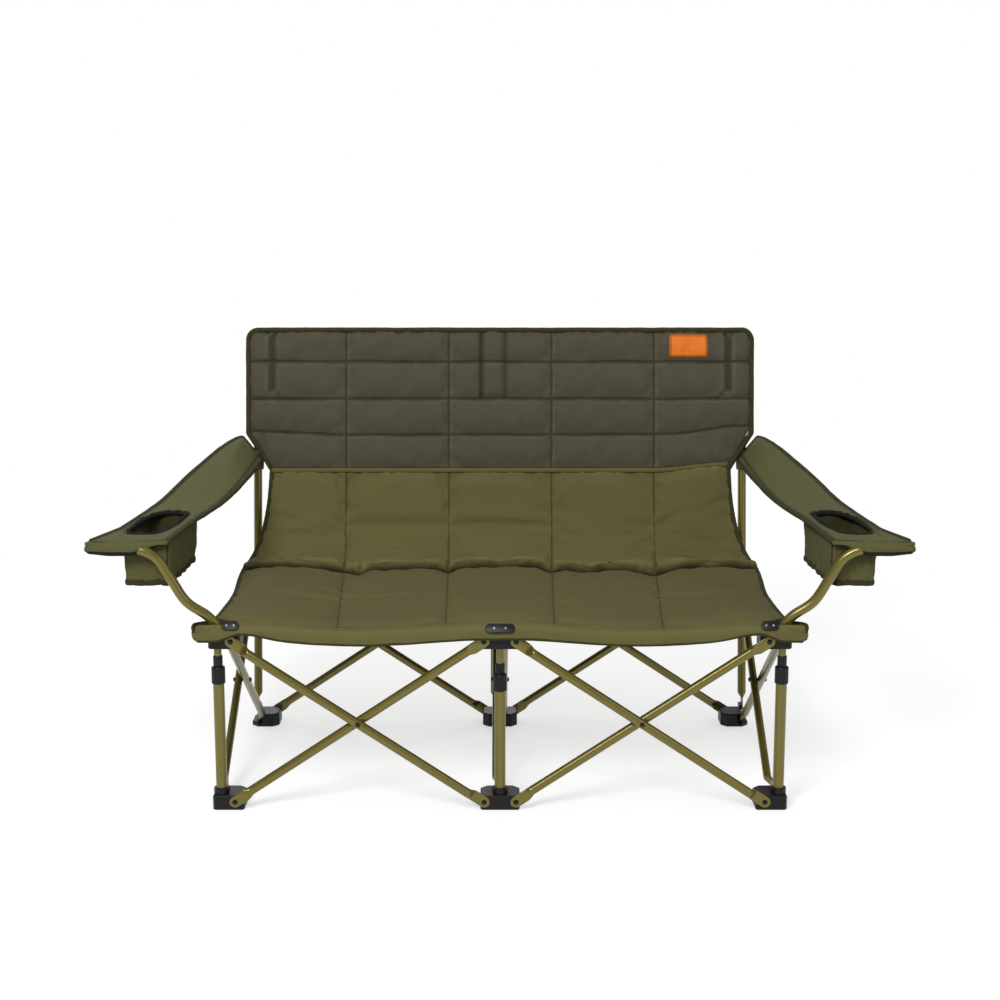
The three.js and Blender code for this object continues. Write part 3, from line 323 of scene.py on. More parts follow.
# pale floor that fades to white away from the chair, for the rays that look straight at it
floorLook, tree = emptyMaterial("studioFloor")
spot = addNode(tree, "ShaderNodeTexCoord").outputs["Object"]
away = addNode(tree, "ShaderNodeVectorMath", {"operation": "LENGTH"}, {0: spot}).outputs["Value"]
fade = addNode(tree, "ShaderNodeMapRange", {"interpolation_type": "SMOOTHSTEP"},
               {0: away, 1: 1.3, 2: 2.6, 3: 0.0, 4: 1.0}).outputs[0]
seen = addNode(tree, "ShaderNodeLightPath").outputs
direct = mathNode(tree, "MAXIMUM", seen["Is Camera Ray"], mathNode(
    tree, "MAXIMUM", seen["Is Glossy Ray"], seen["Is Transmission Ray"]))
lit = addNode(tree, "ShaderNodeBsdfDiffuse", None, {"Color": (0.56, 0.56, 0.56, 1)})
glow = addNode(tree, "ShaderNodeEmission", None, {"Color": (1, 1, 1, 1), "Strength": 1.0})
lift = addNode(tree, "ShaderNodeEmission", None, {"Strength": mathNode(tree, "MULTIPLY", direct, 0.6)})
near = addNode(tree, "ShaderNodeAddShader", None, {0: lit.outputs[0], 1: lift.outputs[0]})
both = addNode(tree, "ShaderNodeMixShader", None,
               {0: mathNode(tree, "MULTIPLY", fade, direct), 1: near.outputs[0], 2: glow.outputs[0]})
endMaterial(tree, both)

floorReach = 14
floorMesh = bpy.data.meshes.new("floor")
floorMesh.from_pydata([(floorReach * x, floorReach * y, 0) for x, y in ((-1, -1), (1, -1), (1, 1), (-1, 1))],
                      [], [(0, 1, 2, 3)])
floorMesh.materials.append(floorLook)
addObject("floor", floorMesh)

world = bpy.data.worlds.new("studio")
world.use_nodes = True
tree = world.node_tree
tree.nodes.clear()
seen = addNode(tree, "ShaderNodeLightPath").outputs
direct = mathNode(tree, "MAXIMUM", seen["Is Camera Ray"], seen["Is Transmission Ray"])
soft = addNode(tree, "ShaderNodeBackground", None, {"Color": (1, 1, 1, 1), "Strength": 0.31})
white = addNode(tree, "ShaderNodeBackground", None, {"Color": (1, 1, 1, 1), "Strength": 1.0})
both = addNode(tree, "ShaderNodeMixShader", None, {0: direct, 1: soft.outputs[0], 2: white.outputs[0]})
tree.links.new(both.outputs[0], addNode(tree, "ShaderNodeOutputWorld").inputs[0])
bpy.context.scene.world = world
print("studio ready")

# the frame's own solids get their finishes
finishes = (("plastic", ("_foot", "_hub", "_sleeve", "_plate")), ("rivet", ("cross_rivet",)),
            ("paint", ("_brace", "_leg", "_rod", "_tube", "_post")))
for name in nodes:
    for look, words in finishes:
        if any(word in name for word in words):
            nodes[name].data.materials.clear()
            nodes[name].data.materials.append(looks[look])
            break
print("frame painted")


# mesh helpers
def meshObject(name, points, faces, uvs=None, seams=None, look=None):
    mesh = bpy.data.meshes.new(name)
    mesh.from_pydata([tuple(p) for p in points], [], faces)
    if uvs:
        layer = mesh.uv_layers.new(name="clothUV")
        for loop in mesh.loops:
            layer.data[loop.index].uv = uvs[loop.vertex_index]
    if seams:
        attribute = mesh.attributes.new("seam", "FLOAT", "POINT")
        attribute.data.foreach_set("value", seams)
    mesh.shade_smooth()
    if look:
        mesh.materials.append(look)
    return addObject(name, mesh)


def tidyNormals(made):
    mesh = bmesh.new()
    mesh.from_mesh(made.data)
    bmesh.ops.recalc_face_normals(mesh, faces=mesh.faces)
    mesh.to_mesh(made.data)
    mesh.free()


def shadeByAngle(made, angle=35):
    mesh = bmesh.new()
    mesh.from_mesh(made.data)
    for edge in mesh.edges:
        if len(edge.link_faces) == 2 and edge.calc_face_angle(0) > math.radians(angle):
            edge.smooth = False
    mesh.to_mesh(made.data)
    mesh.free()


# a closed padded panel over a grid; point(i, j, layer) is in front on layer 0 and behind on layer 1
def padPanel(name, countU, countV, point, uvOf, seamOf, look):
    points, uvs, seams, faces = [], [], [], []
    across = countU + 1
    count = across * (countV + 1)
    for layer in (0, 1):
        for j in range(countV + 1):
            for i in range(across):
                points.append(point(i, j, layer))
                uvs.append(uvOf(i, j))
                seams.append(seamOf(i, j) if layer == 0 else 0.0)
    at = lambda i, j, layer: layer * count + j * across + i
    for j in range(countV):
        for i in range(countU):
            faces.append((at(i, j, 0), at(i + 1, j, 0), at(i + 1, j + 1, 0), at(i, j + 1, 0)))
            faces.append((at(i, j, 1), at(i, j + 1, 1), at(i + 1, j + 1, 1), at(i + 1, j, 1)))
    rim = [(i, 0) for i in range(countU)] + [(countU, j) for j in range(countV)]
    rim += [(i, countV) for i in range(countU, 0, -1)] + [(0, j) for j in range(countV, 0, -1)]
    for k, (i, j) in enumerate(rim):
        ni, nj = rim[(k + 1) % len(rim)]
        faces.append((at(i, j, 0), at(i, j, 1), at(ni, nj, 1), at(ni, nj, 0)))
    return meshObject(name, points, faces, uvs, seams, look)


# vertices of a padded panel that its stitching holds: the underside, the edges and the seams
def heldVertices(panel, columns, rows, near):
    across, count = columns + 1, (columns + 1) * (rows + 1)
    seam = panel.data.attributes["seam"].data
    group = set(range(count, 2 * count))
    for k in range(count):
        j, i = divmod(k, across)
        if i in (0, 1, columns - 1, columns) or j in (0, 1, rows - 1, rows) or seam[k].value > near:
            group.add(k)
    return sorted(group)


filling = {"frames": 14, "quality": 6, "mass": 0.25, "stiffness": 9, "shear": 0.4, "bending": 0.6}


# fills a panel by cloth simulation: pinned along its seams, swollen by pressure between them
def inflate(panel, pinned, pressure, spare, furthest):
    scene = bpy.context.scene
    group = panel.vertex_groups.new(name="held")
    group.add(pinned, 1.0, "REPLACE")
    start = [v.co.copy() for v in panel.data.vertices]
    cloth = panel.modifiers.new("fill", "CLOTH")
    settings = cloth.settings
    settings.quality = filling["quality"]
    settings.mass = filling["mass"]
    settings.tension_stiffness = filling["stiffness"]
    settings.compression_stiffness = filling["stiffness"]
    settings.shear_stiffness = filling["stiffness"] * filling["shear"]
    settings.bending_stiffness = filling["bending"]
    settings.use_pressure = True
    settings.uniform_pressure_force = pressure
    settings.vertex_group_mass = "held"
    settings.shrink_min = -spare
    settings.effector_weights.gravity = 0
    cloth.point_cache.frame_start = 1
    cloth.point_cache.frame_end = filling["frames"]
    for step in range(1, filling["frames"] + 1):
        scene.frame_set(step)
    grown = panel.evaluated_get(bpy.context.evaluated_depsgraph_get()).to_mesh()
    moved = [v.co.copy() for v in grown.vertices]
    panel.evaluated_get(bpy.context.evaluated_depsgraph_get()).to_mesh_clear()
    panel.modifiers.remove(cloth)
    scene.frame_set(1)
    for vertex, old, new in zip(panel.data.vertices, start, moved):
        step = new - old
        if step.length > furthest:
            step *= furthest / step.length
        vertex.co = old + step
    panel.vertex_groups.clear()


# a tape or piping along a path; each station has a point, its outward direction and its width direction
def sweep(name, stations, profile, look, closed=False):
    points, uvs, faces = [], [], []
    count = len(profile)
    run = 0.0
    for k, (spot, out, up) in enumerate(stations):
        if k:
            run += (spot - stations[k - 1][0]).length
        for m, (a, b) in enumerate(profile):
            points.append(spot + out * a + up * b)
            uvs.append((run, m * 0.004))
    total = len(stations)
    for k in range(total if closed else total - 1):
        n = (k + 1) % total
        for m in range(count):
            o = (m + 1) % count
            faces.append((k * count + m, n * count + m, n * count + o, k * count + o))
    if not closed:
        for base, order in ((0, 1), ((total - 1) * count, -1)):
            faces.append(tuple(base + m for m in range(count))[::order])
    made = meshObject(name, points, faces, uvs, [0.0] * len(points), look)
    tidyNormals(made)
    return made


# a solid through rings of equal counts
def ringStack(name, rings, look, uvs=None, looped=False):
    count, total = len(rings[0]), len(rings)
    points = [p for ring in rings for p in ring]
    faces = []
    for r in range(total if looped else total - 1):
        n = (r + 1) % total
        for k in range(count):
            m = (k + 1) % count
            faces.append((r * count + k, r * count + m, n * count + m, n * count + k))
    if not looped:
        faces.append(tuple(range(count))[::-1])
        faces.append(tuple((total - 1) * count + k for k in range(count)))
    made = meshObject(name, points, faces, uvs, None, look)
    tidyNormals(made)
    return made


def ovalProfile(halfOut, halfUp, sidesCount=10):
    return [(halfOut * math.cos(turn), halfUp * math.sin(turn)) for turn in turnsRound(sidesCount)]


def roundProfile(radius):
    turns = [math.radians(15 * k) for k in range(24)]
    return [(radius * math.cos(turn), radius * math.sin(turn)) for turn in turns]


# point on a smooth curve through control points, as a share of its whole
def curveAt(points, share):
    t = clamp(share) * (len(points) - 1)
    k = min(int(t), len(points) - 2)
    f = t - k
    p = [Vector(points[clamp(k + d, 0, len(points) - 1)]) for d in (-1, 0, 1, 2)]
    v0, v1 = (p[2] - p[0]) * 0.5, (p[3] - p[1]) * 0.5
    return ((p[1] - p[2]) * 2 + v0 + v1) * f ** 3 + ((p[2] - p[1]) * 3 - v0 * 2 - v1) * f ** 2 + v0 * f + p[1]


def tangentAt(points, share):
    step = 0.0005
    return (curveAt(points, share + step) - curveAt(points, share - step)).normalized()


# drops points on to a finished mesh, along a direction
def ontoMesh(target, points, direction, lift):
    tree = BVHTree.FromPolygons([v.co for v in target.data.vertices], [p.vertices for p in target.data.polygons])
    found = []
    for point in points:
        hit = tree.ray_cast(point - direction * 0.06, direction)[0]
        found.append((hit if hit is not None else point) - direction * lift)
    return found


# quilting: five columns, closer stations beside each seam
columnShares = (-1, -1 / 3, 1 / 3, 1)


def quiltStations(cells, steps):
    stations = []
    for cell in range(cells):
        for step in range(steps):
            t = step / steps
            stations.append((cell + t - 0.1 * math.sin(2 * math.pi * t)) / cells)
    return stations + [1.0]


# three columns of one width, then the outer two reach to the cloth's edge
def acrossAt(u, half, column):
    reach = abs(2 * u - 1)
    x = reach / 0.6 * column if reach <= 0.6 else lerp(column, half, (reach - 0.6) / 0.4)
    return math.copysign(x, 2 * u - 1)


def columnDistance(x, column):
    return min(abs(abs(x) - column), abs(abs(x) - column / 3))


def quilt(share, cells, power):
    return abs(math.sin(share * cells * math.pi)) ** power


def seamMark(distance, width=0.0022):
    return math.exp(-(distance / width) ** 2)


# stretches of short puckers that run away from a seam and die out
def pucker(along, distance, reach=0.022, pitch=0.019, seed=0.0):
    return math.exp(-distance / reach) * ripple(along / pitch, distance / 0.05, seed)


# broad soft crumples of a hanging cloth
def slump(x, y, seed, size=0.11):
    bend = ripple(x / 0.3, y / 0.3, seed + 9.1) * 0.6
    return ripple(x / size + bend, y / (size * 1.3) - bend, seed)


# geometry nodes: small beads set on points, turned to a direction and stretched
def beadTree(name, labels, wide, tall, findSpots, sphere, rounded=False):
    geometry = "NodeSocketGeometry"
    tree, given, result = newGroup(
        name, [("Geometry", geometry, None)] + [(label, "NodeSocketFloat", value) for label, value in labels]
        + [("Material", "NodeSocketMaterial", None)], [("Geometry", geometry)], "GeometryNodeTree")
    points, aim = findSpots(tree, given)
    turn = addNode(tree, "FunctionNodeAlignRotationToVector", {"axis": "Z"}, {"Vector": aim})
    bead = addNode(tree, "GeometryNodeMeshUVSphere", None, {**sphere, "Radius": 1.0}).outputs["Mesh"]
    if rounded:
        bead = addNode(tree, "GeometryNodeSetShadeSmooth", None, {0: bead}).outputs[0]
    size = addNode(tree, "ShaderNodeCombineXYZ", None, {0: given[wide], 1: given[wide], 2: given[tall]})
    placed = addNode(tree, "GeometryNodeInstanceOnPoints", None,
                     {"Points": points, "Instance": bead, "Rotation": turn.outputs[0], "Scale": size.outputs[0]})
    real = addNode(tree, "GeometryNodeRealizeInstances", None, {0: placed.outputs[0]})
    dyed = addNode(tree, "GeometryNodeSetMaterial", None,
                   {"Geometry": real.outputs[0], "Material": given["Material"]})
    tree.links.new(dyed.outputs[0], result[0])
    return tree


def alongCurve(tree, given):
    spots = addNode(tree, "GeometryNodeCurveToPoints", {"mode": "LENGTH"},
                    {"Curve": given["Geometry"], "Length": given["Pitch"]})
    return spots.outputs["Points"], spots.outputs["Tangent"]


def onPoints(tree, given):
    aim = addNode(tree, "GeometryNodeInputNamedAttribute", {"data_type": "FLOAT_VECTOR"}, {"Name": "aim"})
    return given["Geometry"], aim.outputs[0]


stitchNodes = beadTree("stitchRow", [("Pitch", 0.0045), ("Half Length", 0.0016), ("Thickness", 0.0006)],
                       "Thickness", "Half Length", alongCurve, {"Segments": 6, "Rings": 4})
domeNodes = beadTree("domedRivets", [("Radius", 0.0035), ("Rise", 0.0018)],
                     "Radius", "Rise", onPoints, {"Segments": 16, "Rings": 8}, rounded=True)


def runNodes(holder, tree, values, name):
    modifier = holder.modifiers.new("build", "NODES")
    modifier.node_group = tree
    for item in tree.interface.items_tree:
        if item.in_out == "INPUT" and item.name in values:
            modifier[item.identifier] = values[item.name]
    bpy.context.view_layer.update()
    graph = bpy.context.evaluated_depsgraph_get()
    mesh = bpy.data.meshes.new_from_object(holder.evaluated_get(graph), depsgraph=graph)
    mesh.name = name
    bpy.data.objects.remove(holder)
    return addObject(name, mesh)


def stitches(name, lines, thickness=0.0006):
    curve = bpy.data.curves.new(name + "Line", "CURVE")
    curve.dimensions = "3D"
    for line in lines:
        spline = curve.splines.new("POLY")
        spline.points.add(len(line) - 1)
        for spot, point in zip(spline.points, line):
            spot.co = (*point, 1)
    return runNodes(addObject(name + "Line", curve), stitchNodes,
                    {"Pitch": 0.0045, "Half Length": 0.0016, "Thickness": thickness,
                     "Material": looks["thread"]}, name)


def domes(name, spots, aims, radius, rise, look):
    mesh = bpy.data.meshes.new(name + "Spots")
    mesh.from_pydata([tuple(spot) for spot in spots], [], [])
    attribute = mesh.attributes.new("aim", "FLOAT_VECTOR", "POINT")
    attribute.data.foreach_set("vector", [value for aim in aims for value in aim])
    return runNodes(addObject(name + "Spots", mesh), domeNodes,
                    {"Radius": radius, "Rise": rise, "Material": looks[look]}, name)


# how pieces belong to the frame
def standFor(piece, node, body):
    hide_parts(node)
    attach(piece, body)


# cloth piece that rides its body, on a mesh of its own
def gatherAcross(piece, body):
    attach(piece, body)
    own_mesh(piece)


# cloth piece that rides its body, on a mesh of its own
def gatherDeep(piece, body):
    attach(piece, body)
    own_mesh(piece)


# upper back: quilted cloth on the leaning posts
leanSin, leanCos = math.sin(chair["lean"]), math.cos(chair["lean"])
backAcross = Vector((0, -leanCos, leanSin))
backUp = Vector((0, leanSin, leanCos))
backBody = "rear_centre_upright"


def backPoint(x, out, up):
    return place(x, chair["rowDepth"], chair["postPin"]) + backAcross * out + backUp * up


upperBack = {
    "low": 0.5533, "top": 0.876, "halfWidth": 0.581, "waist": 0.529, "shoulder": 0.082, "corner": 0.026,
    "rear": 0.0099, "thick": 0.006, "rows": (0.5533, 0.6325, 0.715, 0.8, 0.876), "rowHeight": 0.082,
    "column": 0.353, "stepsAcross": 34, "stepsUp": 15, "inFront": 0.05,
    "sleeveSides": (0.5165, 0.53), "sleeveMiddle": (-0.0425, 0.0135), "sleeveEnd": 0.722,
}
backRelief = {"rise": 0.0076, "rowPucker": 0.0036, "columnPucker": 0.002, "slump": 0.0024, "wander": 0.0021,
              "sleeveDip": 0.0036, "sleevePuff": 0.0022, "deepest": -0.0022, "flatEdge": (0.006, 0.02)}


def backHalf(up):
    rise = clamp((up - upperBack["low"]) / upperBack["shoulder"])
    side = lerp(upperBack["waist"], upperBack["halfWidth"], rise ** 1.05)
    into = up - (upperBack["top"] - upperBack["corner"])
    if into <= 0:
        return side
    return side - upperBack["corner"] + math.sqrt(max(upperBack["corner"] ** 2 - into ** 2, 0))


# the lowest two seams climb towards the ends, more on the right
def rowRise(x, row):
    if row == 1:
        return 0.022 * smooth(x, 0.36, 0.575) + 0.009 * smooth(-x, 0.36, 0.575)
    return 0.014 * smooth(x, 0.35, 0.53) if row == 0 else 0.0


acrossStations = quiltStations(5, upperBack["stepsAcross"])
upStations = quiltStations(4, upperBack["stepsUp"])


def rowDistance(v):
    return abs(v * 4 - round(v * 4))


def backSpot(i, j):
    u, v = acrossStations[i], upStations[j]
    row = min(int(v * 4), 3)
    flat = lerp(upperBack["rows"][row], upperBack["rows"][row + 1], v * 4 - row)
    x = acrossAt(u, backHalf(flat), upperBack["column"])
    wander = 0.0
    if j not in (0, len(upStations) - 1):
        wander = backRelief["wander"] * ripple(x / 0.07, round(v * 4) * 3.3, 2.5) * math.exp(-rowDistance(v) * 6)
    return x, flat + lerp(rowRise(x, row), rowRise(x, row + 1), v * 4 - row) + wander, u, v


# distance to the stitched outlines of the sleeves that hold the posts
def sleeveLine(x, up):
    end = upperBack["sleeveEnd"]
    if up < end - 0.006:
        return 1.0
    inner, outer = upperBack["sleeveSides"]
    left, right = upperBack["sleeveMiddle"]
    turnIn = 0.016 * (1 - smooth(up, end - 0.006, end + 0.02)) ** 2
    marks = [abs(abs(x) - inner + turnIn), abs(x - left), abs(x - right)]
    if up > end + 0.01:
        marks.append(abs(abs(x) - outer))
    return min(marks)


def upperBackPoint(i, j, layer):
    x, up, u, v = backSpot(i, j)
    if layer:
        return backPoint(x, upperBack["rear"], up)
    acrossSeam = columnDistance(x, upperBack["column"])
    upSeam = rowDistance(v) * upperBack["rowHeight"]
    filled = quilt(u, 5, 0.45) * quilt(v, 4, 0.45)
    swell = backRelief["rise"] * filled
    swell += backRelief["rowPucker"] * pucker(x, upSeam, reach=0.014, pitch=0.02, seed=1)
    swell += backRelief["columnPucker"] * pucker(up, acrossSeam, reach=0.012, pitch=0.018, seed=2)
    swell += backRelief["slump"] * slump(x, up, 3.0, 0.12) * filled
    sleeve = sleeveLine(x, up)
    swell -= backRelief["sleeveDip"] * seamMark(sleeve, 0.0034)
    left, right = upperBack["sleeveMiddle"]
    if up > upperBack["sleeveEnd"] and (abs(x) > upperBack["sleeveSides"][1] or left < x < right):
        swell += backRelief["sleevePuff"] * smooth(sleeve, 0.002, 0.012)
    swell *= smooth(min(backHalf(up) - abs(x), upperBack["top"] - up), *backRelief["flatEdge"])
    return backPoint(x, upperBack["rear"] + upperBack["thick"] + max(swell, backRelief["deepest"]), up)


columnsAt = [share * upperBack["column"] for share in columnShares]


# seam lines of the back, darkened with painted shade in their grooves; below zero, painted highlights on the ridges
# beside the columns, below the rows and round the sleeves
def upperBackSeam(i, j):
    x, up, u, v = backSpot(i, j)
    acrossSeam = columnDistance(x, upperBack["column"])
    upSeam = rowDistance(v) * upperBack["rowHeight"]
    sleeve = sleeveLine(x, up)
    soft = 0.75 + 0.25 * ripple(x / 0.05, up / 0.05, 31.0)
    dark = max(0.8 * seamMark(acrossSeam, 0.0024), soft * seamMark(upSeam, 0.0036), seamMark(sleeve, 0.0032))
    beside = min(abs(x - column - 0.0052) for column in columnsAt)
    below = min(abs(up - upperBack["rows"][row] - rowRise(x, row) + 0.0062) for row in range(1, 4))
    patchy = 0.6 + 0.6 * ripple(x / 0.03, up / 0.03, 41.0)
    litRidge = patchy * max(0.5 * seamMark(beside, 0.002), 0.34 * seamMark(below, 0.0024),
                         0.4 * seamMark(sleeve - 0.006, 0.002))
    return dark if dark > 0.12 else -litRidge


backGrid = (len(acrossStations) - 1, len(upStations) - 1)
backPanel = padPanel("back_panel", *backGrid, upperBackPoint, lambda i, j: tuple(backSpot(i, j)[:2]),
                     upperBackSeam, looks["backCloth"])
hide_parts("upper_back")
inflate(backPanel, heldVertices(backPanel, *backGrid, 0.35), pressure=2.4, spare=0.03, furthest=0.005)
print("upper back", len(backPanel.data.polygons))

# tape round the sides and top of the back, drawn from the right foot to the middle and mirrored
backTrim = {"tape": (0.0062, 0.0075, 12), "tapeInset": 0.0036, "strip": (0.0034, 0.0056), "stripHalf": 0.524,
            "sleeve": 0.0129, "sleeveSpan": (0.724, 0.8735)}
shoulderTop, topCorner = upperBack["top"], upperBack["corner"]
outline = [(backHalf(up), up) for up in spread(upperBack["low"], shoulderTop - topCorner, 60)]
for step in range(1, 13):
    turn = math.radians(90 * step / 12)
    outline.append((upperBack["halfWidth"] - topCorner * (1 - math.cos(turn)),
                    shoulderTop - topCorner * (1 - math.sin(turn))))
outline += [(0.545 - 0.005 * k, shoulderTop) for k in range(110)]
outline += [(-x, up) for x, up in reversed(outline[:-1])]
middleOut = upperBack["rear"] + upperBack["thick"] / 2 + 0.002
tapeStations = []
for k, (x, up) in enumerate(outline):
    before, after = outline[max(k - 1, 0)], outline[min(k + 1, len(outline) - 1)]
    along = Vector((after[0] - before[0], after[1] - before[1])).normalized()
    outwards = (sideways * along.y - backUp * along.x)
    wobble = ripple(x * 30, up * 30, 4) + 0.5 * ripple(x * 75, up * 75, 5)
    tapeStations.append((backPoint(x, middleOut, up) - outwards * (backTrim["tapeInset"] + 0.0006 * wobble),
                         outwards, backAcross * (1 + 0.1 * wobble)))
backTape = sweep("back_binding", tapeStations, ovalProfile(*backTrim["tape"]), looks["binding"])

# strip that covers the seam with the lower back
stripStations = []
for x in spread(-backTrim["stripHalf"], backTrim["stripHalf"], 180):
    wobble = ripple(x * 24, 2.0, 8.0)
    stripStations.append((backPoint(x, upperBack["rear"] + upperBack["thick"] + 0.0034 + 0.0005 * wobble,
                                    upperBack["low"] + rowRise(x, 0) - 0.0028), backAcross, backUp))
seamStrip = sweep("back_seam_strip", stripStations, ovalProfile(*backTrim["strip"]), looks["seatCloth"])

# sleeves behind the back that drop over the post tops
postXs = {"left": -0.558, "centre": -0.012, "right": 0.558}
for side, x in postXs.items():
    stations = []
    for share in spread(0, 1, 40):
        up = lerp(*backTrim["sleeveSpan"], share)
        pinch = 1.0 - 0.35 * smooth(share, 0.9, 1.0)
        bulge = 0.04 * ripple(x * 9, up * 60, 2)
        stations.append((backPoint(x, 0.0, up), sideways * (pinch + bulge), backAcross * pinch))
    gatherAcross(sweep(f"{side}_post_sleeve", stations, roundProfile(backTrim["sleeve"]), looks["backCloth"]),
                 backBody)

# plain orange patch, laid on the swollen cloth
patch = {"middle": (0.4318, 0.8358), "size": (0.0873, 0.051), "steps": (30, 18), "front": 0.0024, "rear": 0.0008}


def patchPoint(i, j, layer):
    nx, ny = patch["steps"]
    x = patch["middle"][0] + (i / nx - 0.5) * patch["size"][0]
    up = patch["middle"][1] + (j / ny - 0.5) * patch["size"][1]
    return backPoint(x, upperBack["inFront"] + (0.0004 if layer == 0 else -0.0006), up)


def patchSeam(i, j):
    nx, ny = patch["steps"]
    return 1.0 if min(i, nx - i) == 1 or min(j, ny - j) == 1 else 0.0


labelPatch = padPanel("orange_patch", *patch["steps"], patchPoint, lambda i, j: (i * 0.0029, j * 0.0028),
                      patchSeam, looks["label"])
patchSpots = labelPatch.data.vertices
patchCount = len(patchSpots) // 2
landed = ontoMesh(backPanel, [patchSpots[k].co.copy() for k in range(patchCount)], -backAcross, 0.0)
for k, spot in enumerate(landed):
    patchSpots[k].co = spot + backAcross * patch["front"]
    patchSpots[k + patchCount].co = spot + backAcross * patch["rear"]


# stitches: columns, rows, the outlines of the sleeves, and along the tape
def upLine(x, low, high, count):
    return [backPoint(x, upperBack["inFront"], up) for up in spread(low, high, count)]


stitchTop = 0.866
backLines = [upLine(column, 0.558, stitchTop, 90) for column in columnsAt]
for row in (1, 2, 3):
    backLines.append([backPoint(x, upperBack["inFront"], upperBack["rows"][row] + rowRise(x, row))
                      for x in spread(-0.566, 0.566, 300)])
for line in upperBack["sleeveSides"]:
    backLines += [upLine(hand * line, 0.74, stitchTop, 60) for hand in (-1, 1)]
backLines += [upLine(line, 0.718, stitchTop, 60) for line in upperBack["sleeveMiddle"]]
backLines.append([backPoint(x * (1 - 0.0125 / max(abs(x), 0.2)) if abs(x) > 0.3 else x, upperBack["inFront"],
                            min(up, 0.8625)) for x, up in outline[::2]])
backLines = [ontoMesh(backPanel, line, -backAcross, -0.0002) for line in backLines]
backStitches = stitches("back_stitches", backLines, thickness=0.0005)
for piece in (backPanel, backTape, seamStrip, labelPatch, backStitches):
    gatherAcross(piece, backBody)

# sling: lower back and seat, hung from the hubs
sling = {
    "thick": 0.007, "rise": 0.0052, "hubEdge": (0.039, 0.506), "column": 0.353, "creaseColumn": 0.3505,
    "frontColumn": 0.319, "seatSag": 0.012, "creaseSag": 0.006, "neck": 0.529, "seat": 0.566, "crease": 0.58,
    "corner": 0.541, "ear": 0.596, "stepsAcross": 32, "lowerRows": 64, "lowerLength": 0.245, "bandShare": 0.83,
    "bandCorner": 0.45, "narrowFrom": 0.4, "narrowest": 0.505,
}
lowerBody = "rear_centre_hub_block"
seatLevel, creaseY, seatMiddle = 0.3734, 0.504, 0.252
lowerCurve = [(0.6294, 0.5775), (0.6094, 0.5015), (0.5794, 0.4395), (0.544, 0.3974), (creaseY, 0.3759)]
seatCurve = [(creaseY, 0.3759), (0.424, 0.3694), (0.272, 0.3654), (0.12, 0.3694), (0.042, 0.3739),
             (-0.008, 0.3767), (-0.026, 0.3789), (-0.033, 0.3694), (-0.034, 0.3464)]
# where the lower back is gathered into the crease: place, pull downwards and width of each gather
gathers = [(-0.575, 0.003, 0.05), (-0.345, 0.005, 0.03), (-0.312, 0.009, 0.02), (-0.117, 0.009, 0.022),
           (0.0, 0.002, 0.04), (0.112, 0.007, 0.022), (0.2, 0.006, 0.05), (0.342, 0.0115, 0.06), (0.58, 0.001, 0.05)]


def hang(x):
    low, high = sling["hubEdge"]
    return math.sin(math.pi * clamp((abs(x) - low) / (high - low))) ** 1.6


def slingPoint(curve, x, along, depth, sag):
    spot, way = curveAt(curve, along), tangentAt(curve, along)
    return place(x, spot.x - way.y * depth, spot.y + way.x * depth - sag * hang(x))


# how far the crease wanders up or down from its straight line
def creaseWave(x):
    return -0.0025 + 0.0025 * ripple(x / 0.09, 0.7, 4.2) - sum(
        drop * math.exp(-((x - at) / wide) ** 2) for at, drop, wide in gathers)


def gatherNear(x, reach):
    return max(math.exp(-((x - at) / reach) ** 2) * min(drop / 0.008, 1) for at, drop, wide in gathers)


# point under or over one strip of the sling
def onStrip(strip, x, along, depth):
    spot = slingPoint(strip["curve"], x, along, depth, strip["sagAt"](along))
    spot.z += strip["liftAt"](x, along)
    return spot


slingStations = quiltStations(5, sling["stepsAcross"])
slingColumns = len(slingStations) - 1


def slingPanel(name, strip, shares):
    curve = strip["curve"]
    lengths = [0.0]
    for a, b in zip(shares, shares[1:]):
        lengths.append(lengths[-1] + (curveAt(curve, b) - curveAt(curve, a)).length)
    xs = [[-acrossAt(u, strip["widthAt"](share), strip["columnAt"](share)) for u in slingStations]
          for share in shares]

    def point(i, j, layer):
        x, along = xs[j][i], shares[j]
        return onStrip(strip, x, along, sling["thick"] if layer else -strip["swellAt"](x, slingStations[i], along))

    return padPanel(name, slingColumns, len(shares) - 1, point, lambda i, j: (xs[j][i], lengths[j]),
                    lambda i, j: strip["seamAt"](xs[j][i], shares[j]), looks["seatCloth"])


def lowerWidth(along):
    return lerp(sling["neck"], sling["crease"], along ** 1.6)


def lowerColumn(along):
    return lerp(sling["column"], sling["creaseColumn"], along)


def lowerSag(along):
    return sling["creaseSag"] * smooth(along, 0.25, 1)


def lowerLift(x, along):
    return creaseWave(x) * smooth(along, 0.8, 1.0) + rowRise(x, 0) * (1 - smooth(along, 0.0, 0.22))


lowerRelief = {"roll": 0.012, "rollFrom": 0.0165, "rollWidth": 0.0125, "gathered": 0.85, "columnPucker": 0.0012,
               "slump": 0.0016, "ruck": 0.0058, "ruckReach": 0.028, "tuck": 0.002, "topRuck": 0.0012,
               "topReach": 0.03}


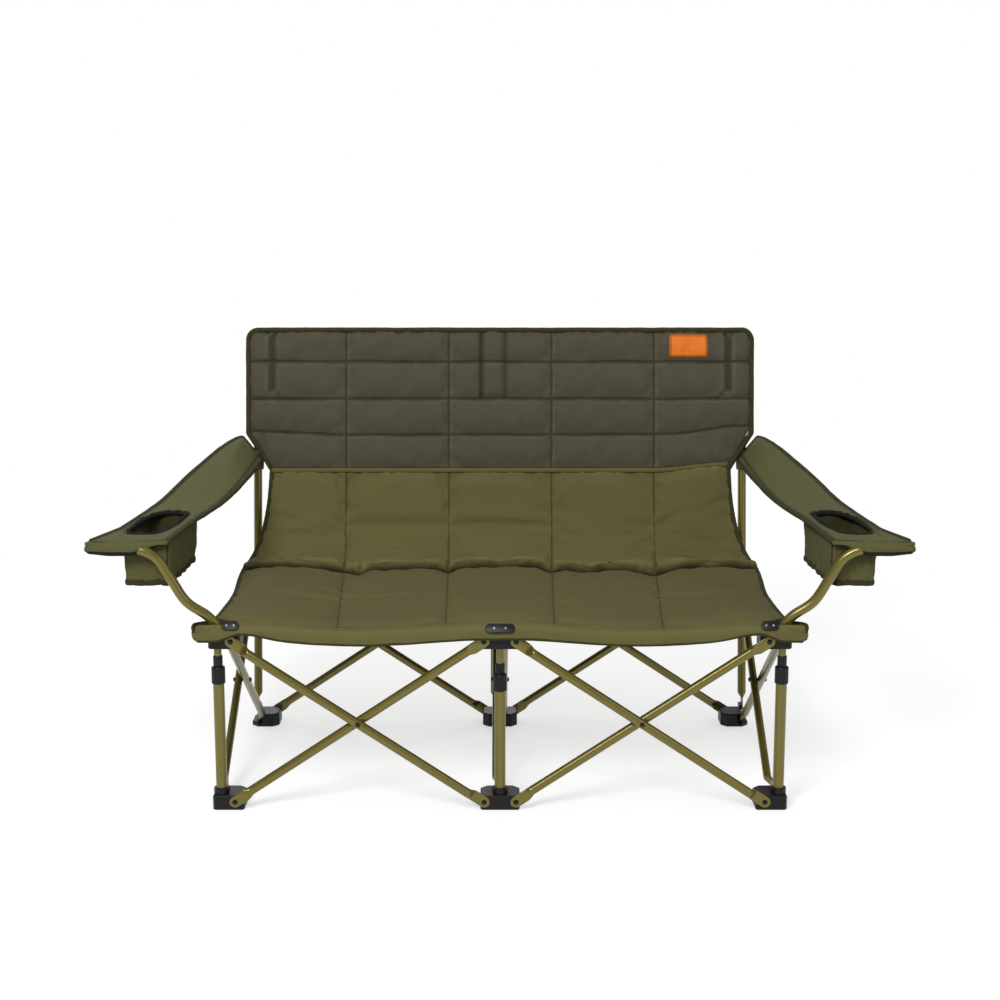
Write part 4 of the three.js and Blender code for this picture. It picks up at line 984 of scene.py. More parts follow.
def lowerSwell(x, u, along):
    down = along * sling["lowerLength"]
    toCrease = (1 - along) * sling["lowerLength"]
    filled = smooth(down, 0.0, 0.03) * smooth(toCrease, 0.0, 0.016)
    fromColumn = columnDistance(x, lowerColumn(along))
    swell = sling["rise"] * quilt(u, 5, 0.42) * filled
    fromRoll = toCrease - lowerRelief["rollFrom"]
    roll = lowerRelief["roll"] * math.exp(-(fromRoll / lowerRelief["rollWidth"]) ** 2)
    swell += roll * (1 - lowerRelief["gathered"] * gatherNear(x, 0.012)) * smooth(toCrease, 0, 0.01)
    swell += lowerRelief["columnPucker"] * pucker(down, fromColumn, reach=0.016, seed=5) * filled
    swell += lowerRelief["slump"] * slump(x, down, 6.0, 0.15) * filled * quilt(u, 5, 0.5)
    ruck = ripple(x / 0.024, toCrease / 0.06, 7.0) + 0.6 * ripple(x / 0.011, toCrease / 0.03, 8.0)
    nearCrease = lowerRelief["ruck"] * ruck * math.exp(-toCrease / lowerRelief["ruckReach"])
    swell += nearCrease * smooth(toCrease, 0.0, 0.01) * (0.35 + gatherNear(x, 0.05))
    swell -= lowerRelief["tuck"] * (1 - smooth(toCrease, 0.0, 0.007))
    ruck = ripple(x / 0.018, down / 0.05, 9.0)
    swell += lowerRelief["topRuck"] * ruck * math.exp(-down / lowerRelief["topReach"]) * smooth(down, 0.008, 0.02)
    return swell


# seam lines of the lower back, with painted shade in the crease fold and in the tucks over the gathers; below zero,
# painted highlights on the roll above the crease and under the top seam
def lowerSeam(x, along):
    down, toCrease = along * sling["lowerLength"], (1 - along) * sling["lowerLength"]
    tuck = max(min(drop / 0.008, 1) * seamMark(x - at - 0.16 * toCrease * math.copysign(1, at), 0.0034)
               for at, drop, wide in gathers) * math.exp(-(toCrease / 0.03) ** 2)
    creaseShade = seamMark(toCrease, 0.0078 + 0.004 * ripple(x / 0.05, 5.0, 2.0))
    dark = max(0.8 * seamMark(columnDistance(x, lowerColumn(along)), 0.0022),
               0.6 * seamMark(down, 0.003), min(1.15 * creaseShade, 1), 0.8 * tuck)
    litRidge = 0.34 * seamMark(toCrease - 0.027, 0.008) * (1 + ripple(x / 0.03, 1.0, 3.0))
    litRidge = max(litRidge, 0.3 * seamMark(down - 0.009, 0.003))
    return dark if dark > 0.1 else -litRidge


def seatY(along):
    return curveAt(seatCurve, along).x


# the seat widens to the crease; its front lip wraps outwards into the ears
def seatWidth(along):
    y, z = curveAt(seatCurve, along)
    if y > -0.01:
        back = lerp(sling["seat"], sling["crease"], smooth(y, seatMiddle, creaseY))
        return lerp(sling["corner"], back, smooth(y, 0.009, 0.042))
    wrap = smooth(-y, 0.020, 0.0305)
    droop = smooth(seatLevel - z, 0.0135, 0.027)
    return lerp(sling["corner"], sling["ear"], wrap) - 0.012 * droop


def seatColumn(along):
    return lerp(sling["frontColumn"], sling["creaseColumn"], clamp(seatY(along) / creaseY))


def seatSag(along):
    return lerp(sling["seatSag"], sling["creaseSag"], smooth(seatY(along), 0, creaseY))


# the front band is full between the hubs, narrow beside the corners and full again on the ears
def bandShare(x):
    reach = abs(x)
    if reach > sling["narrowest"]:
        return lerp(sling["bandCorner"], 1, smooth(reach, sling["narrowest"], chair["legX"]))
    return lerp(sling["bandShare"], sling["bandCorner"], smooth(reach, sling["narrowFrom"], sling["narrowest"]))


def seatLift(x, along):
    here = curveAt(seatCurve, along)
    lift = creaseWave(x) * (1 - smooth(creaseY - here.x, 0.0, 0.11))
    if here.x < 0:
        lift += max(seatLevel - here.y, 0) * (1 - bandShare(x))
    if here.x < -0.0285 and abs(x) > sling["corner"] + 0.001:
        cap = lerp(0.3765, 0.3655, smooth(abs(x), sling["corner"], 0.58))
        lift += min(0, cap - here.y - lift)
    return lift


# the seam between seat and band wanders a little
def frontSeamY(x):
    return 0.010 + 0.0035 * ripple(x / 0.12, 2.2, 6.0)


seatRelief = {"full": 0.9, "columnPucker": 0.0011, "slump": 0.0024, "ruck": 0.002, "ruckReach": 0.03, "tuck": 0.002,
              "frontRuck": 0.0022, "frontReach": 0.016, "lip": 0.0012, "lipPinch": 0.0022, "bandFrom": 0.012}


def seatSwell(x, u, along):
    y = seatY(along)
    toCrease = max(creaseY - y, 0)
    toFront = abs(y - frontSeamY(x))
    filled = smooth(y, 0.012, 0.05) * smooth(toCrease, 0.0, 0.02)
    fromColumn = columnDistance(x, seatColumn(along))
    swell = sling["rise"] * seatRelief["full"] * quilt(u, 5, 0.42) * filled
    swell += seatRelief["columnPucker"] * pucker(y, fromColumn, reach=0.014, seed=11) * filled
    swell += seatRelief["slump"] * slump(x, y, 12.0, 0.16) * filled * quilt(u, 5, 0.5)
    ruck = ripple(x / 0.03, toCrease / 0.06, 13.0)
    swell += seatRelief["ruck"] * ruck * math.exp(-toCrease / seatRelief["ruckReach"]) * smooth(toCrease, 0.0, 0.01)
    swell -= seatRelief["tuck"] * (1 - smooth(toCrease, 0.0, 0.008))
    pinch = math.exp(-(fromColumn / 0.03) ** 2)
    ruck = ripple(x / 0.016, toFront / 0.03, 14.0)
    swell += seatRelief["frontRuck"] * ruck * math.exp(-toFront / seatRelief["frontReach"]) * (0.25 + pinch)
    into = seatRelief["bandFrom"] - y
    if into > 0:
        lip = smooth(into, 0.0, 0.014)
        swell += seatRelief["lip"] * lip * ripple(x / 0.05, along * 9, 15.0)
        atColumn = math.exp(-(fromColumn / 0.012) ** 2)
        swell -= seatRelief["lipPinch"] * lip * atColumn * (1 - smooth(into, 0.02, 0.04))
    return swell


# seam lines of the seat, with painted shade along the crease at its rear
def seatSeam(x, along):
    y = seatY(along)
    column = seamMark(columnDistance(x, seatColumn(along)), 0.0018)
    if y < 0.004:
        return 0.18 * column
    gathered = 0.35 + math.exp(-(columnDistance(x, sling["frontColumn"]) / 0.04) ** 2)
    front = 0.42 * seamMark(y - frontSeamY(x), 0.0016) * gathered
    return max(0.6 * column, seamMark(max(creaseY - y, 0), 0.0045), front)


lowerStrip = {"curve": lowerCurve, "widthAt": lowerWidth, "columnAt": lowerColumn, "sagAt": lowerSag,
              "liftAt": lowerLift, "swellAt": lowerSwell, "seamAt": lowerSeam}
seatStrip = {"curve": seatCurve, "widthAt": seatWidth, "columnAt": seatColumn, "sagAt": seatSag,
             "liftAt": seatLift, "swellAt": seatSwell, "seamAt": seatSeam}
lowerShares = [share - 0.09 * math.sin(2 * math.pi * share) for share in spread(0, 1, sling["lowerRows"])]
lowerBack = slingPanel("lower_back_panel", lowerStrip, lowerShares)

# the seat is filled in one length, and cut where it folds
splitShare = 0.25
rearShares = [share * (1 - 0.25 * (1 - share / splitShare)) for share in spread(0.0, splitShare, 46)]
frontShares = spread(splitShare, 0.5, 34)[1:-1] + spread(0.5, 1.0, 66)
seatShares = rearShares + frontShares
seatRows, cut = len(seatShares) - 1, len(rearShares) - 1
wholeSeat = slingPanel("wholeSeat", seatStrip, seatShares)

inflate(lowerBack, heldVertices(lowerBack, slingColumns, sling["lowerRows"], 0.3),
        pressure=2.2, spare=0.03, furthest=0.007)
slingAcross = slingColumns + 1
held = set(heldVertices(wholeSeat, slingColumns, seatRows, 0.25))
for j, share in enumerate(seatShares):
    if seatY(share) < 0.006:
        held |= set(range(j * slingAcross, (j + 1) * slingAcross))
inflate(wholeSeat, sorted(held), pressure=2.0, spare=0.025, furthest=0.006)


# the two halves meet under one smooth surface, so their facing edges keep its normals
def shareNormals(half, wholeNormals, rows, first):
    mesh = half.data
    corners = [corner.vector.copy() for corner in mesh.corner_normals]
    topCount = slingAcross * (rows + 1)
    meeting = rows if first == 0 else 0
    for face in mesh.polygons:
        if max(face.vertices) >= topCount:
            continue
        for loop in face.loop_indices:
            spot = mesh.loops[loop].vertex_index
            if spot // slingAcross == meeting:
                corners[loop] = wholeNormals[spot + first * slingAcross]
    mesh.normals_split_custom_set(corners)


# one length of the filled seat as a closed panel of its own, so that each half rides its own body
def cutSeat(name, first, last, node):
    whole = wholeSeat.data
    spots = [v.co.copy() for v in whole.vertices]
    wholeNormals = [v.normal.copy() for v in whole.vertices]
    marks = [d.value for d in whole.attributes["seam"].data]
    layer = whole.uv_layers["clothUV"].data
    flatUv = {loop.vertex_index: tuple(layer[loop.index].uv) for loop in whole.loops}
    count = slingAcross * (seatRows + 1)
    at = lambda i, j: (j + first) * slingAcross + i
    half = padPanel(name, slingColumns, last - first, lambda i, j, side: spots[side * count + at(i, j)],
                    lambda i, j: flatUv[at(i, j)], lambda i, j: marks[at(i, j)], looks["seatCloth"])
    shadeByAngle(half, 62)
    shareNormals(half, wholeNormals, last - first, first)
    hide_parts(node)
    return half


seatRear = cutSeat("seat_rear_panel_cloth", 0, cut, "seat_rear")
seatFront = cutSeat("seat_front_panel_cloth", cut, seatRows, "seat_front")
bpy.data.objects.remove(wholeSeat)
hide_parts("lower_back")
# faces of the front band take the lighter band cloth: painted light on the front roll
seatFront.data.materials.append(looks["bandLitCloth"])
bandFrom = place(0, 0.0085, 0).y
for face in seatFront.data.polygons:
    if face.center.y < bandFrom:
        face.material_index = 1
print("sling", len(lowerBack.data.polygons) + len(seatRear.data.polygons) + len(seatFront.data.polygons))


# ruffled tape along one side of a strip
def sideTape(name, strip, start, end, hand, body):
    stations = []
    for k, along in enumerate(spread(start, end, 90)):
        way = tangentAt(strip["curve"], along)
        ruffle = ripple(k * 0.62, hand, start * 7) + 0.5 * ripple(k * 1.4, hand, start * 9)
        spot = onStrip(strip, strip["widthAt"](along) * hand, along, 0.0022)
        normal = Vector((0, way.y, -way.x))
        stations.append((spot - Vector((hand * (0.0056 - 0.0007 * ruffle), 0, 0)), Vector((hand, 0, 0)),
                         -normal * (1 + 0.2 * ruffle)))
    gatherAcross(sweep(name, stations, ovalProfile(0.0062, 0.0066, 12), looks["binding"]), body)


for side, hand in sides.items():
    sideTape(f"{side}_lower_back_tape", lowerStrip, 0.0, 1.0, hand, lowerBody)
    sideTape(f"{side}_seat_rear_tape", seatStrip, 0.0, splitShare, hand, "seat_rear_panel")
    sideTape(f"{side}_seat_front_tape", seatStrip, splitShare, 0.62, hand, "seat_front_panel")

# tape under the crease that joins the lower back to the seat
crease = {"half": 0.574, "depth": 0.0052, "profile": (0.0065, 0.0026),
          "out": Vector((0, 0.94, 0.34)), "up": Vector((0, -0.34, 0.94))}
creaseStations = [(onStrip(lowerStrip, x, 1.0, crease["depth"]), crease["out"], crease["up"])
                  for x in spread(-crease["half"], crease["half"], 240)]
# the tape takes the darker lining cloth: painted shade deep in the crease
gatherAcross(sweep("crease_tape", creaseStations, ovalProfile(*crease["profile"]), looks["shadeLining"]), lowerBody)

# rolled hem of the front band
bandHem = {"half": 0.586, "along": 0.996, "depth": 0.0035, "profile": (0.0032, 0.005)}
hemStations = []
for x in spread(-bandHem["half"], bandHem["half"], 300):
    wobble = ripple(x * 26, 1, 5)
    spot = onStrip(seatStrip, x, bandHem["along"], bandHem["depth"])
    hemStations.append((spot + upwards * (0.0018 + 0.0006 * wobble), downwards, Vector((0, -1, 0))))
gatherAcross(sweep("seat_band_hem", hemStations, ovalProfile(*bandHem["profile"]), looks["binding"]),
             "seat_front_panel")


# a line of stitches down one column, held clear above the cloth before it is dropped on it
def columnLine(strip, share, start, end, count):
    return [slingPoint(strip["curve"], share * strip["columnAt"](t), t, -0.03, strip["sagAt"](t))
            for t in spread(start, end, count)]


def lowerLine(share):
    line = columnLine(lowerStrip, share, 0.02, 0.95, 80)
    return [spot + Vector((0, 0, lowerLift(share * 0.35, t))) for spot, t in zip(line, spread(0.02, 0.95, 80))]


slingLines = {
    "lower_back": (lowerBack, lowerBody, Vector((0, 0.92, -0.39)), [lowerLine(share) for share in columnShares]),
    "seat_rear": (seatRear, "seat_rear_panel", downwards,
                  [columnLine(seatStrip, share, 0.02, 0.245, 70) for share in columnShares]),
    "seat_front": (seatFront, "seat_front_panel", downwards,
                   [columnLine(seatStrip, share, 0.255, 0.5, 70) for share in columnShares]),
}
for key, (panel, body, way, lines) in slingLines.items():
    landed = [ontoMesh(panel, line, way, 0.0001) for line in lines]
    gatherAcross(stitches(f"{key}_stitches", landed, thickness=0.0005), body)
    gatherAcross(panel, body)

# armrests: padded strips from the tube ends back to the corner posts, drawn for the right side
armrest = {
    "top": 0.539, "slope": 0.09, "thick": 0.004, "crown": 0.0026, "twist": 0.05, "twistFrom": 0.25,
    "inner": [(0.642, -0.003), (0.614, 0.145), (0.595, 0.216), (0.568, 0.337), (0.553, 0.480), (0.547, 0.642)],
    "outer": [(0.592, 0.655), (0.616, 0.618), (0.655, 0.500), (0.692, 0.380), (0.733, 0.180), (0.755, 0.080)],
    "tip": [(0.8009, -0.010), (0.7969, -0.0187), (0.7065, -0.0187), (0.642, -0.003)],
    "leaf": [(0.7305, 0.0535), (0.716, 0.0475), (0.694, 0.0465), (0.673, 0.0535), (0.657, 0.083), (0.6455, 0.125),
             (0.6385, 0.163), (0.6375, 0.184), (0.655, 0.1935), (0.678, 0.1945), (0.7, 0.181), (0.716, 0.15),
             (0.7265, 0.11), (0.7325, 0.075)],
    "rings": 26, "edgeStep": 0.005, "seamInset": 0.0085, "binding": 0.0052, "rim": (0.0042, 0.0046),
    "above": 0.02, "stitchInset": 0.0075, "holeSeam": 0.008,
}
openingMiddle = Vector((0.684, 0.115))


# the sheet rises towards the back, where its outer edge also turns up against the corner of the back
def armrestTop(y, x=0.6):
    turned = smooth(y, armrest["twistFrom"], armrest["outer"][0][1]) * clamp((x - 0.547) / 0.045)
    return armrest["top"] + armrest["slope"] * (y + chair["armTubeBackset"]) + armrest["twist"] * turned


def evenly(points, spacing):
    picked, spare = [Vector(points[0])], 0.0
    for a, b in zip(points, points[1:]):
        a, b = Vector(a), Vector(b)
        length = (b - a).length
        at = spacing - spare
        while at <= length:
            picked.append(a.lerp(b, at / length))
            at += spacing
        spare = length - (at - spacing)
    return picked


armOuter = [armrest["inner"][-1]] + armrest["outer"]
edgeLine = [curveAt(armrest["inner"], share) for share in spread(0, 1, 120)]
edgeLine += [curveAt(armOuter, share) for share in spread(0, 1, 160)[1:]]
edgeLine = evenly([tuple(p) for p in edgeLine] + armrest["tip"], armrest["edgeStep"])
edgeCount = len(edgeLine)
edgeTree = KDTree(edgeCount)
for k, spot in enumerate(edgeLine):
    edgeTree.insert((spot.x, spot.y, 0), k)
edgeTree.balance()

# the opening's edge as direction and distance from its middle
leafTable = []
for share in spread(0, 1, 280):
    spot = curveAt(armrest["leaf"] + [armrest["leaf"][0]], share) - openingMiddle
    leafTable.append((math.atan2(spot.y, spot.x), spot.length))
leafTable.sort()


def openingEdge(direction, grow=0.0):
    turn = math.atan2(direction.y, direction.x)
    k = min(bisect.bisect_left(leafTable, (turn, 0.0)), len(leafTable) - 1)
    (a, near), (b, far) = leafTable[k - 1], leafTable[k]
    share = clamp((turn - a) / (b - a)) if b - a > 1e-6 else 1.0
    return openingMiddle + direction * (lerp(near, far, share) + grow)


# direction of the armrest's edge at one of its points
def edgeWay(k):
    return (edgeLine[(k + 1) % edgeCount] - edgeLine[k - 1]).normalized()


armRelief = {"rumple": 0.0022, "edgePucker": 0.0012, "holePucker": 0.002, "flatEdge": 0.02}


def armrestPad(side, hand):
    rings = armrest["rings"]
    points, uvs, seams, faces = [], [], [], []
    for layer in (0, 1):
        for ring in range(rings + 1):
            t = ring / rings
            t = t - 0.09 * math.sin(2 * math.pi * t)
            for spot in edgeLine:
                way = (spot - openingMiddle).normalized()
                here = openingEdge(way).lerp(spot, t)
                fromEdge = edgeTree.find((here.x, here.y, 0))[2]
                fromHole = (here - openingEdge((here - openingMiddle).normalized() if ring else way)).length
                inside = smooth(min(fromEdge, fromHole), 0.0, armRelief["flatEdge"])
                rumple = ripple(here.x / 0.05, here.y / 0.11, hand * 5) * armRelief["rumple"]
                rumple += armRelief["edgePucker"] * pucker(
                    here.x + here.y, fromEdge, reach=0.012, pitch=0.016, seed=21)
                around = math.atan2(way.y, way.x) * 0.06
                rumple += armRelief["holePucker"] * pucker(around, fromHole, reach=0.014, pitch=0.012, seed=23)
                rise = armrest["crown"] * inside + rumple * inside if layer == 0 else -armrest["thick"] - 0.0002
                points.append(place(hand * here.x, here.y, armrestTop(here.y, here.x) + rise))
                uvs.append((here.x, here.y))
                mark = max(seamMark(fromEdge - armrest["seamInset"], 0.0022),
                           seamMark(fromHole - armrest["holeSeam"], 0.002))
                seams.append(mark if layer == 0 else 0)
    size = (rings + 1) * edgeCount
    for ring in range(rings):
        for k in range(edgeCount):
            n = (k + 1) % edgeCount
            base, above = ring * edgeCount, (ring + 1) * edgeCount
            a, b, c, d = (base + k, above + k, above + n, base + n)
            faces.append((a, b, c, d))
            faces.append((size + a, size + d, size + c, size + b))
    for ring in (0, rings):
        for k in range(edgeCount):
            a, b = ring * edgeCount + k, ring * edgeCount + (k + 1) % edgeCount
            faces.append((a, b, size + b, size + a))
    pad = meshObject(f"{side}_armrest_pad", points, faces, uvs, seams, looks["armCloth"])
    tidyNormals(pad)
    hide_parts(f"{side}_armrest")
    return pad


def armrestBinding(side, hand):
    stations = []
    for k, spot in enumerate(edgeLine):
        if spot.y < 0.0:
            continue
        along = edgeWay(k)
        out = Vector((-hand * along.y, along.x, 0))
        wobble = 1 + 0.12 * ripple(spot.x * 40, spot.y * 40, hand)
        stations.append((place(hand * spot.x, spot.y, armrestTop(spot.y, spot.x) - 0.0014) - out * 0.0026,
                         out * wobble, Vector((0, 0, wobble))))
    return sweep(f"{side}_armrest_binding", stations, ovalProfile(armrest["binding"], armrest["binding"]),
                 looks["binding"])


# gathered black tape round the cup opening
def openingRim(side, hand):
    stations = []
    for k, turn in enumerate(turnsRound(150)):
        way = Vector((math.cos(turn), math.sin(turn)))
        spot = openingEdge(way, 0.0006)
        rearward = smooth(way.y, -0.5, 0.5)
        ruffle = 0.8 + 0.35 * rearward + 0.34 * ripple(k * 0.42, hand * 3, 7) + 0.14 * math.sin(k * 1.15)
        lift = 0.0015 * rearward + 0.0018 * ripple(k * 0.3, hand * 3, 9)
        stations.append((place(hand * spot.x, spot.y, armrestTop(spot.y) - 0.0004 + lift),
                         Vector((hand * way.x, way.y, 0)) * ruffle, Vector((0, 0, ruffle))))
    return sweep(f"{side}_opening_rim", stations, ovalProfile(*armrest["rim"]), looks["blackTapeAndHemShade"], closed=True)


# the front edge is sewn round the arm tube as a sleeve
tubeHem = {"inner": 0.6435, "outer": 0.8004, "thin": 0.0048, "full": 0.0138}


def armrestHem(side, hand):
    stations = []
    for x in spread(tubeHem["inner"], tubeHem["outer"], 60):
        grown = smooth(x, 0.655, 0.713)
        close = (1 - 0.3 * smooth(x, 0.75, tubeHem["outer"])) * (1 - 0.5 * smooth(x, 0.79, tubeHem["outer"]) ** 2)
        radius = lerp(tubeHem["thin"], tubeHem["full"], grown) * close * (1 + 0.03 * ripple(x * 50, hand, 2))
        z = lerp(armrestTop(0) - 0.0042, chair["armTubeHeight"], grown)
        stations.append((place(hand * x, lerp(-0.0035, -chair["armTubeBackset"], grown), z),
                         Vector((0, radius, 0)), Vector((0, 0, radius))))
    hem = sweep(f"{side}_armrest_hem", stations, roundProfile(1), looks["armCloth"])
    # faces that look downwards take the black tape: painted shade under the hem
    hem.data.materials.append(looks["blackTapeAndHemShade"])
    for face in hem.data.polygons:
        if face.normal.z < -0.35:
            face.material_index = 1
    return hem


# loop that ties the armrest's rear end to the corner post
postLoop = {"up": 0.567, "radius": 0.0118, "profile": (0.0018, 0.015)}


def armrestLoop(side):
    centre = backPoint(postXs[side], 0.0, postLoop["up"])
    stations = []
    for turn in turnsRound(28):
        out = sideways * math.cos(turn) + backAcross * math.sin(turn)
        stations.append((centre + out * postLoop["radius"], out, backUp))
    return sweep(f"{side}_armrest_loop", stations, ovalProfile(*postLoop["profile"]), looks["armCloth"], closed=True)


def armrestStitches(side, hand, pad):
    line = []
    for k, spot in enumerate(edgeLine):
        if spot.y >= 0.01:
            along = edgeWay(k)
            spot = spot - Vector((-along.y, along.x)) * armrest["stitchInset"]
            line.append(place(hand * spot.x, spot.y, armrestTop(spot.y, spot.x) + armrest["above"]))
    lines = [line]
    ring = [openingEdge(Vector((math.cos(turn), math.sin(turn))), armrest["seamInset"])
            for turn in turnsRound(90) + [2 * math.pi]]
    lines.append([place(hand * spot.x, spot.y, armrestTop(spot.y) + armrest["above"]) for spot in ring])
    for gap in (0.0, 0.003):
        lines.append([place(hand * lerp(0.7385 + gap, 0.7425 + gap, t), lerp(0.02, 0.085, t),
                            armrestTop(0.05) + armrest["above"]) for t in spread(0, 1, 16)])
    return stitches(f"{side}_armrest_stitches", [ontoMesh(pad, line, downwards, 0.0002) for line in lines])


# cup pockets: soft bags under the openings
pouch = {"width": 0.097, "length": 0.191, "across": 0.689, "front": 0.009, "skew": 0.12, "bottom": 0.449,
         "slope": 0.07, "corner": 0.013, "wall": 0.0026, "taper": 0.005, "rows": 26, "stations": 132,
         "floorShares": (0.08, 0.4, 0.75, 0.95), "girth": 0.55, "welt": (0.0019, 0.0016, 8), "hem": (0.0026, 0.0062)}
pouchMiddle = Vector((0, pouch["front"] + pouch["length"] / 2))


# even points round the bag, a rectangle with round corners
def pouchLoop(inset, taper):
    half = pouch["width"] / 2 - inset - taper
    y0, y1 = pouch["front"] + inset + taper, pouch["front"] + pouch["length"] - inset - taper
    radius = pouch["corner"] - inset
    corners = [(half - radius, y0 + radius, -90), (half - radius, y1 - radius, 0),
               (-half + radius, y1 - radius, 90), (-half + radius, y0 + radius, 180)]
    raw = []
    for x, y, start in corners:
        for step in range(9):
            angle = math.radians(start + 90 * step / 8)
            raw.append((x + radius * math.cos(angle), y + radius * math.sin(angle)))
    raw.append(raw[0])
    lengths = [0.0]
    for a, b in zip(raw, raw[1:]):
        lengths.append(lengths[-1] + (Vector(b) - Vector(a)).length)
    loop, at = [], 0
    for k in range(pouch["stations"]):
        want = lengths[-1] * k / pouch["stations"]
        while lengths[at + 1] < want:
            at += 1
        t = (want - lengths[at]) / (lengths[at + 1] - lengths[at])
        loop.append(Vector(raw[at]).lerp(Vector(raw[at + 1]), t))
    return loop


bagRelief = {"billow": 0.0046, "crumple": 0.005, "gather": 0.0018, "sag": 0.003, "flare": 0.01, "rimDrop": 0.0046}


# one level of the bag, from its floor (share 0) to the armrest (share 1), with billows and hanging creases
def pouchRing(hand, loop, share, bottom):
    ring = []
    for k, (spot, around) in enumerate(zip(loop, turnsRound(len(loop)))):
        rim = armrestTop(spot.y) - bagRelief["rimDrop"]
        z = lerp(bottom + pouch["slope"] * (spot.y - pouch["front"]), rim, share)
        soft = math.sin(math.pi * min(share, 0.98)) ** 0.6
        billow = bagRelief["billow"] * soft * ripple(math.cos(around) * 2.2, math.sin(around) * 2.2, z * 16 + hand)
        crumple = ripple(k / len(loop) * 30 + z * 42, hand * 7, z * 9)
        billow += bagRelief["crumple"] * soft * (abs(crumple) - 0.25)
        gather = bagRelief["gather"] * (1 - share) ** 2 * math.sin(around * 17 + hand)
        moved = spot + (spot - pouchMiddle).normalized() * (billow + gather)
        sagging = bagRelief["sag"] * (1 - share) * ripple(around * 2, hand * 4, 3)
        across = pouch["across"] - pouch["skew"] * (moved.y - pouch["front"])
        flare = bagRelief["flare"] * smooth(share, 0.78, 0.98) * smooth(hand * spot.x, 0.0, 0.03)
        ring.append(place(hand * (across + flare) + moved.x, moved.y, z + sagging))
    return ring


# outer floor and wall, then inner wall and floor, in one closed skin
def pocketBag(side, hand):
    rings = []
    for inset, inside in ((0, False), (pouch["wall"], True)):
        level = pouch["bottom"] + inset
        base = pouchLoop(inset, pouch["taper"])
        floorRings = [pouchRing(hand, [pouchMiddle.lerp(spot, share) for spot in base], 0.0,
                                level if inside else level + 0.0006) for share in pouch["floorShares"]]
        wallRings = []
        for share in spread(0, 1, pouch["rows"]):
            loop = pouchLoop(inset, pouch["taper"] * (1 - share))
            wallRings.append(pouchRing(hand, loop, share if inside else max(share, 0.01), level))
        rings += (floorRings + wallRings)[::-1] if inside else floorRings + wallRings
    count = pouch["stations"]
    uvs = [(k / count * pouch["girth"], r * 0.0035) for r in range(len(rings)) for k in range(count)]
    bag = ringStack(f"{side}_pocket_bag", rings, looks["armCloth"], uvs)
    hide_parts(f"{side}_cup_pocket")
    # the inner wall and floor take the darker lining: painted shade inside the pocket
    bag.data.materials.append(looks["shadeLining"])
    for face in bag.data.polygons:
        if face.index >= count * (pouch["rows"] + len(pouch["floorShares"])):
            face.material_index = 1
    return bag


def pocketHem(side, hand):
    hem = pouchRing(hand, pouchLoop(0, pouch["taper"]), 0.055, pouch["bottom"])
    stations = []
    for k, spot in enumerate(hem):
        along = (hem[(k + 1) % len(hem)] - hem[k - 1]).normalized()
        out = along.cross(upwards)
        ruffle = ripple(k * 0.45, hand * 5, 1)
        stations.append((spot + out * 0.0012 * ruffle + Vector((0, 0, 0.0015 * ruffle)),
                         out * (1 + 0.4 * ruffle), Vector((0, 0, 1 + 0.3 * ruffle))))
    return sweep(f"{side}_pocket_hem", stations, ovalProfile(*pouch["hem"]), looks["binding"], closed=True)


# welt down the front inner corner, where the front and the side are sewn together
def pocketWelt(side, hand):
    plain = pouchLoop(0, 0)
    corner = min(range(len(plain)), key=lambda k: plain[k].y + hand * plain[k].x)
    out, across = Vector((-hand * 0.7, -0.7, 0)), Vector((hand * -0.7, 0.7, 0))
    stations = []
    for share in spread(0, 1, 24):
        ring = pouchRing(hand, pouchLoop(0, pouch["taper"] * (1 - share)), share, pouch["bottom"])
        stations.append((ring[corner] - out * 0.0002, out, across))
    return sweep(f"{side}_pocket_welt", stations, ovalProfile(*pouch["welt"]), looks["binding"])


for side, hand in sides.items():
    body = f"front_{side}_hub_arm"
    pad = armrestPad(side, hand)
    gathered = [pad, armrestBinding(side, hand), openingRim(side, hand)]
    hem = armrestHem(side, hand)
    gathered += [armrestLoop(side), armrestStitches(side, hand, pad)]
    for piece in gathered:
        gatherDeep(piece, body)
    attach(hem, body)
    bag = pocketBag(side, hand)
    for piece in (bag, pocketHem(side, hand), pocketWelt(side, hand)):
        gatherDeep(piece, body)
print("armrests and pockets")

# braces: round tube with pressed, drilled ends
tube = {"radius": 0.008, "wide": 0.0091, "tab": 0.0015, "tabHalf": 0.0115, "tabLength": 0.024, "taper": 0.016,
        "offset": 0.0082, "span": 0.492, "rise": 0.327, "low": 0.018, "sides": 28, "eye": 0.0033}
tube["length"] = math.hypot(tube["span"], tube["rise"])


# stations along a bar: place, half width, half thickness and shift of the middle
def pressedRings(radius, offset, length, wide):
    flat, half = tube["tab"], tube["tabHalf"]
    ends = [(-half * math.cos(math.radians(a)), half * math.sin(math.radians(a)), flat, 0)
            for a in (6, 20, 40, 60, 78, 90)]
    ends.append((tube["tabLength"], half, flat, 0))
    for step in range(1, 9):
        t = step / 8
        s = t * t * (3 - 2 * t)
        ends.append((tube["tabLength"] + tube["taper"] * t, lerp(half, wide, s), lerp(flat, radius, s), offset * s))
    return ends + [(length - s, w, t, c) for s, w, t, c in reversed(ends)] if length else ends


def sectionRing(s, halfWidth, halfThick, centre):
    ring = []
    for angle in turnsRound(tube["sides"], 0.5):
        straight = math.copysign(max(halfWidth - halfThick, 0), math.cos(angle))
        ring.append(Vector((s, straight + halfThick * math.cos(angle), centre + halfThick * math.sin(angle))))
    return ring


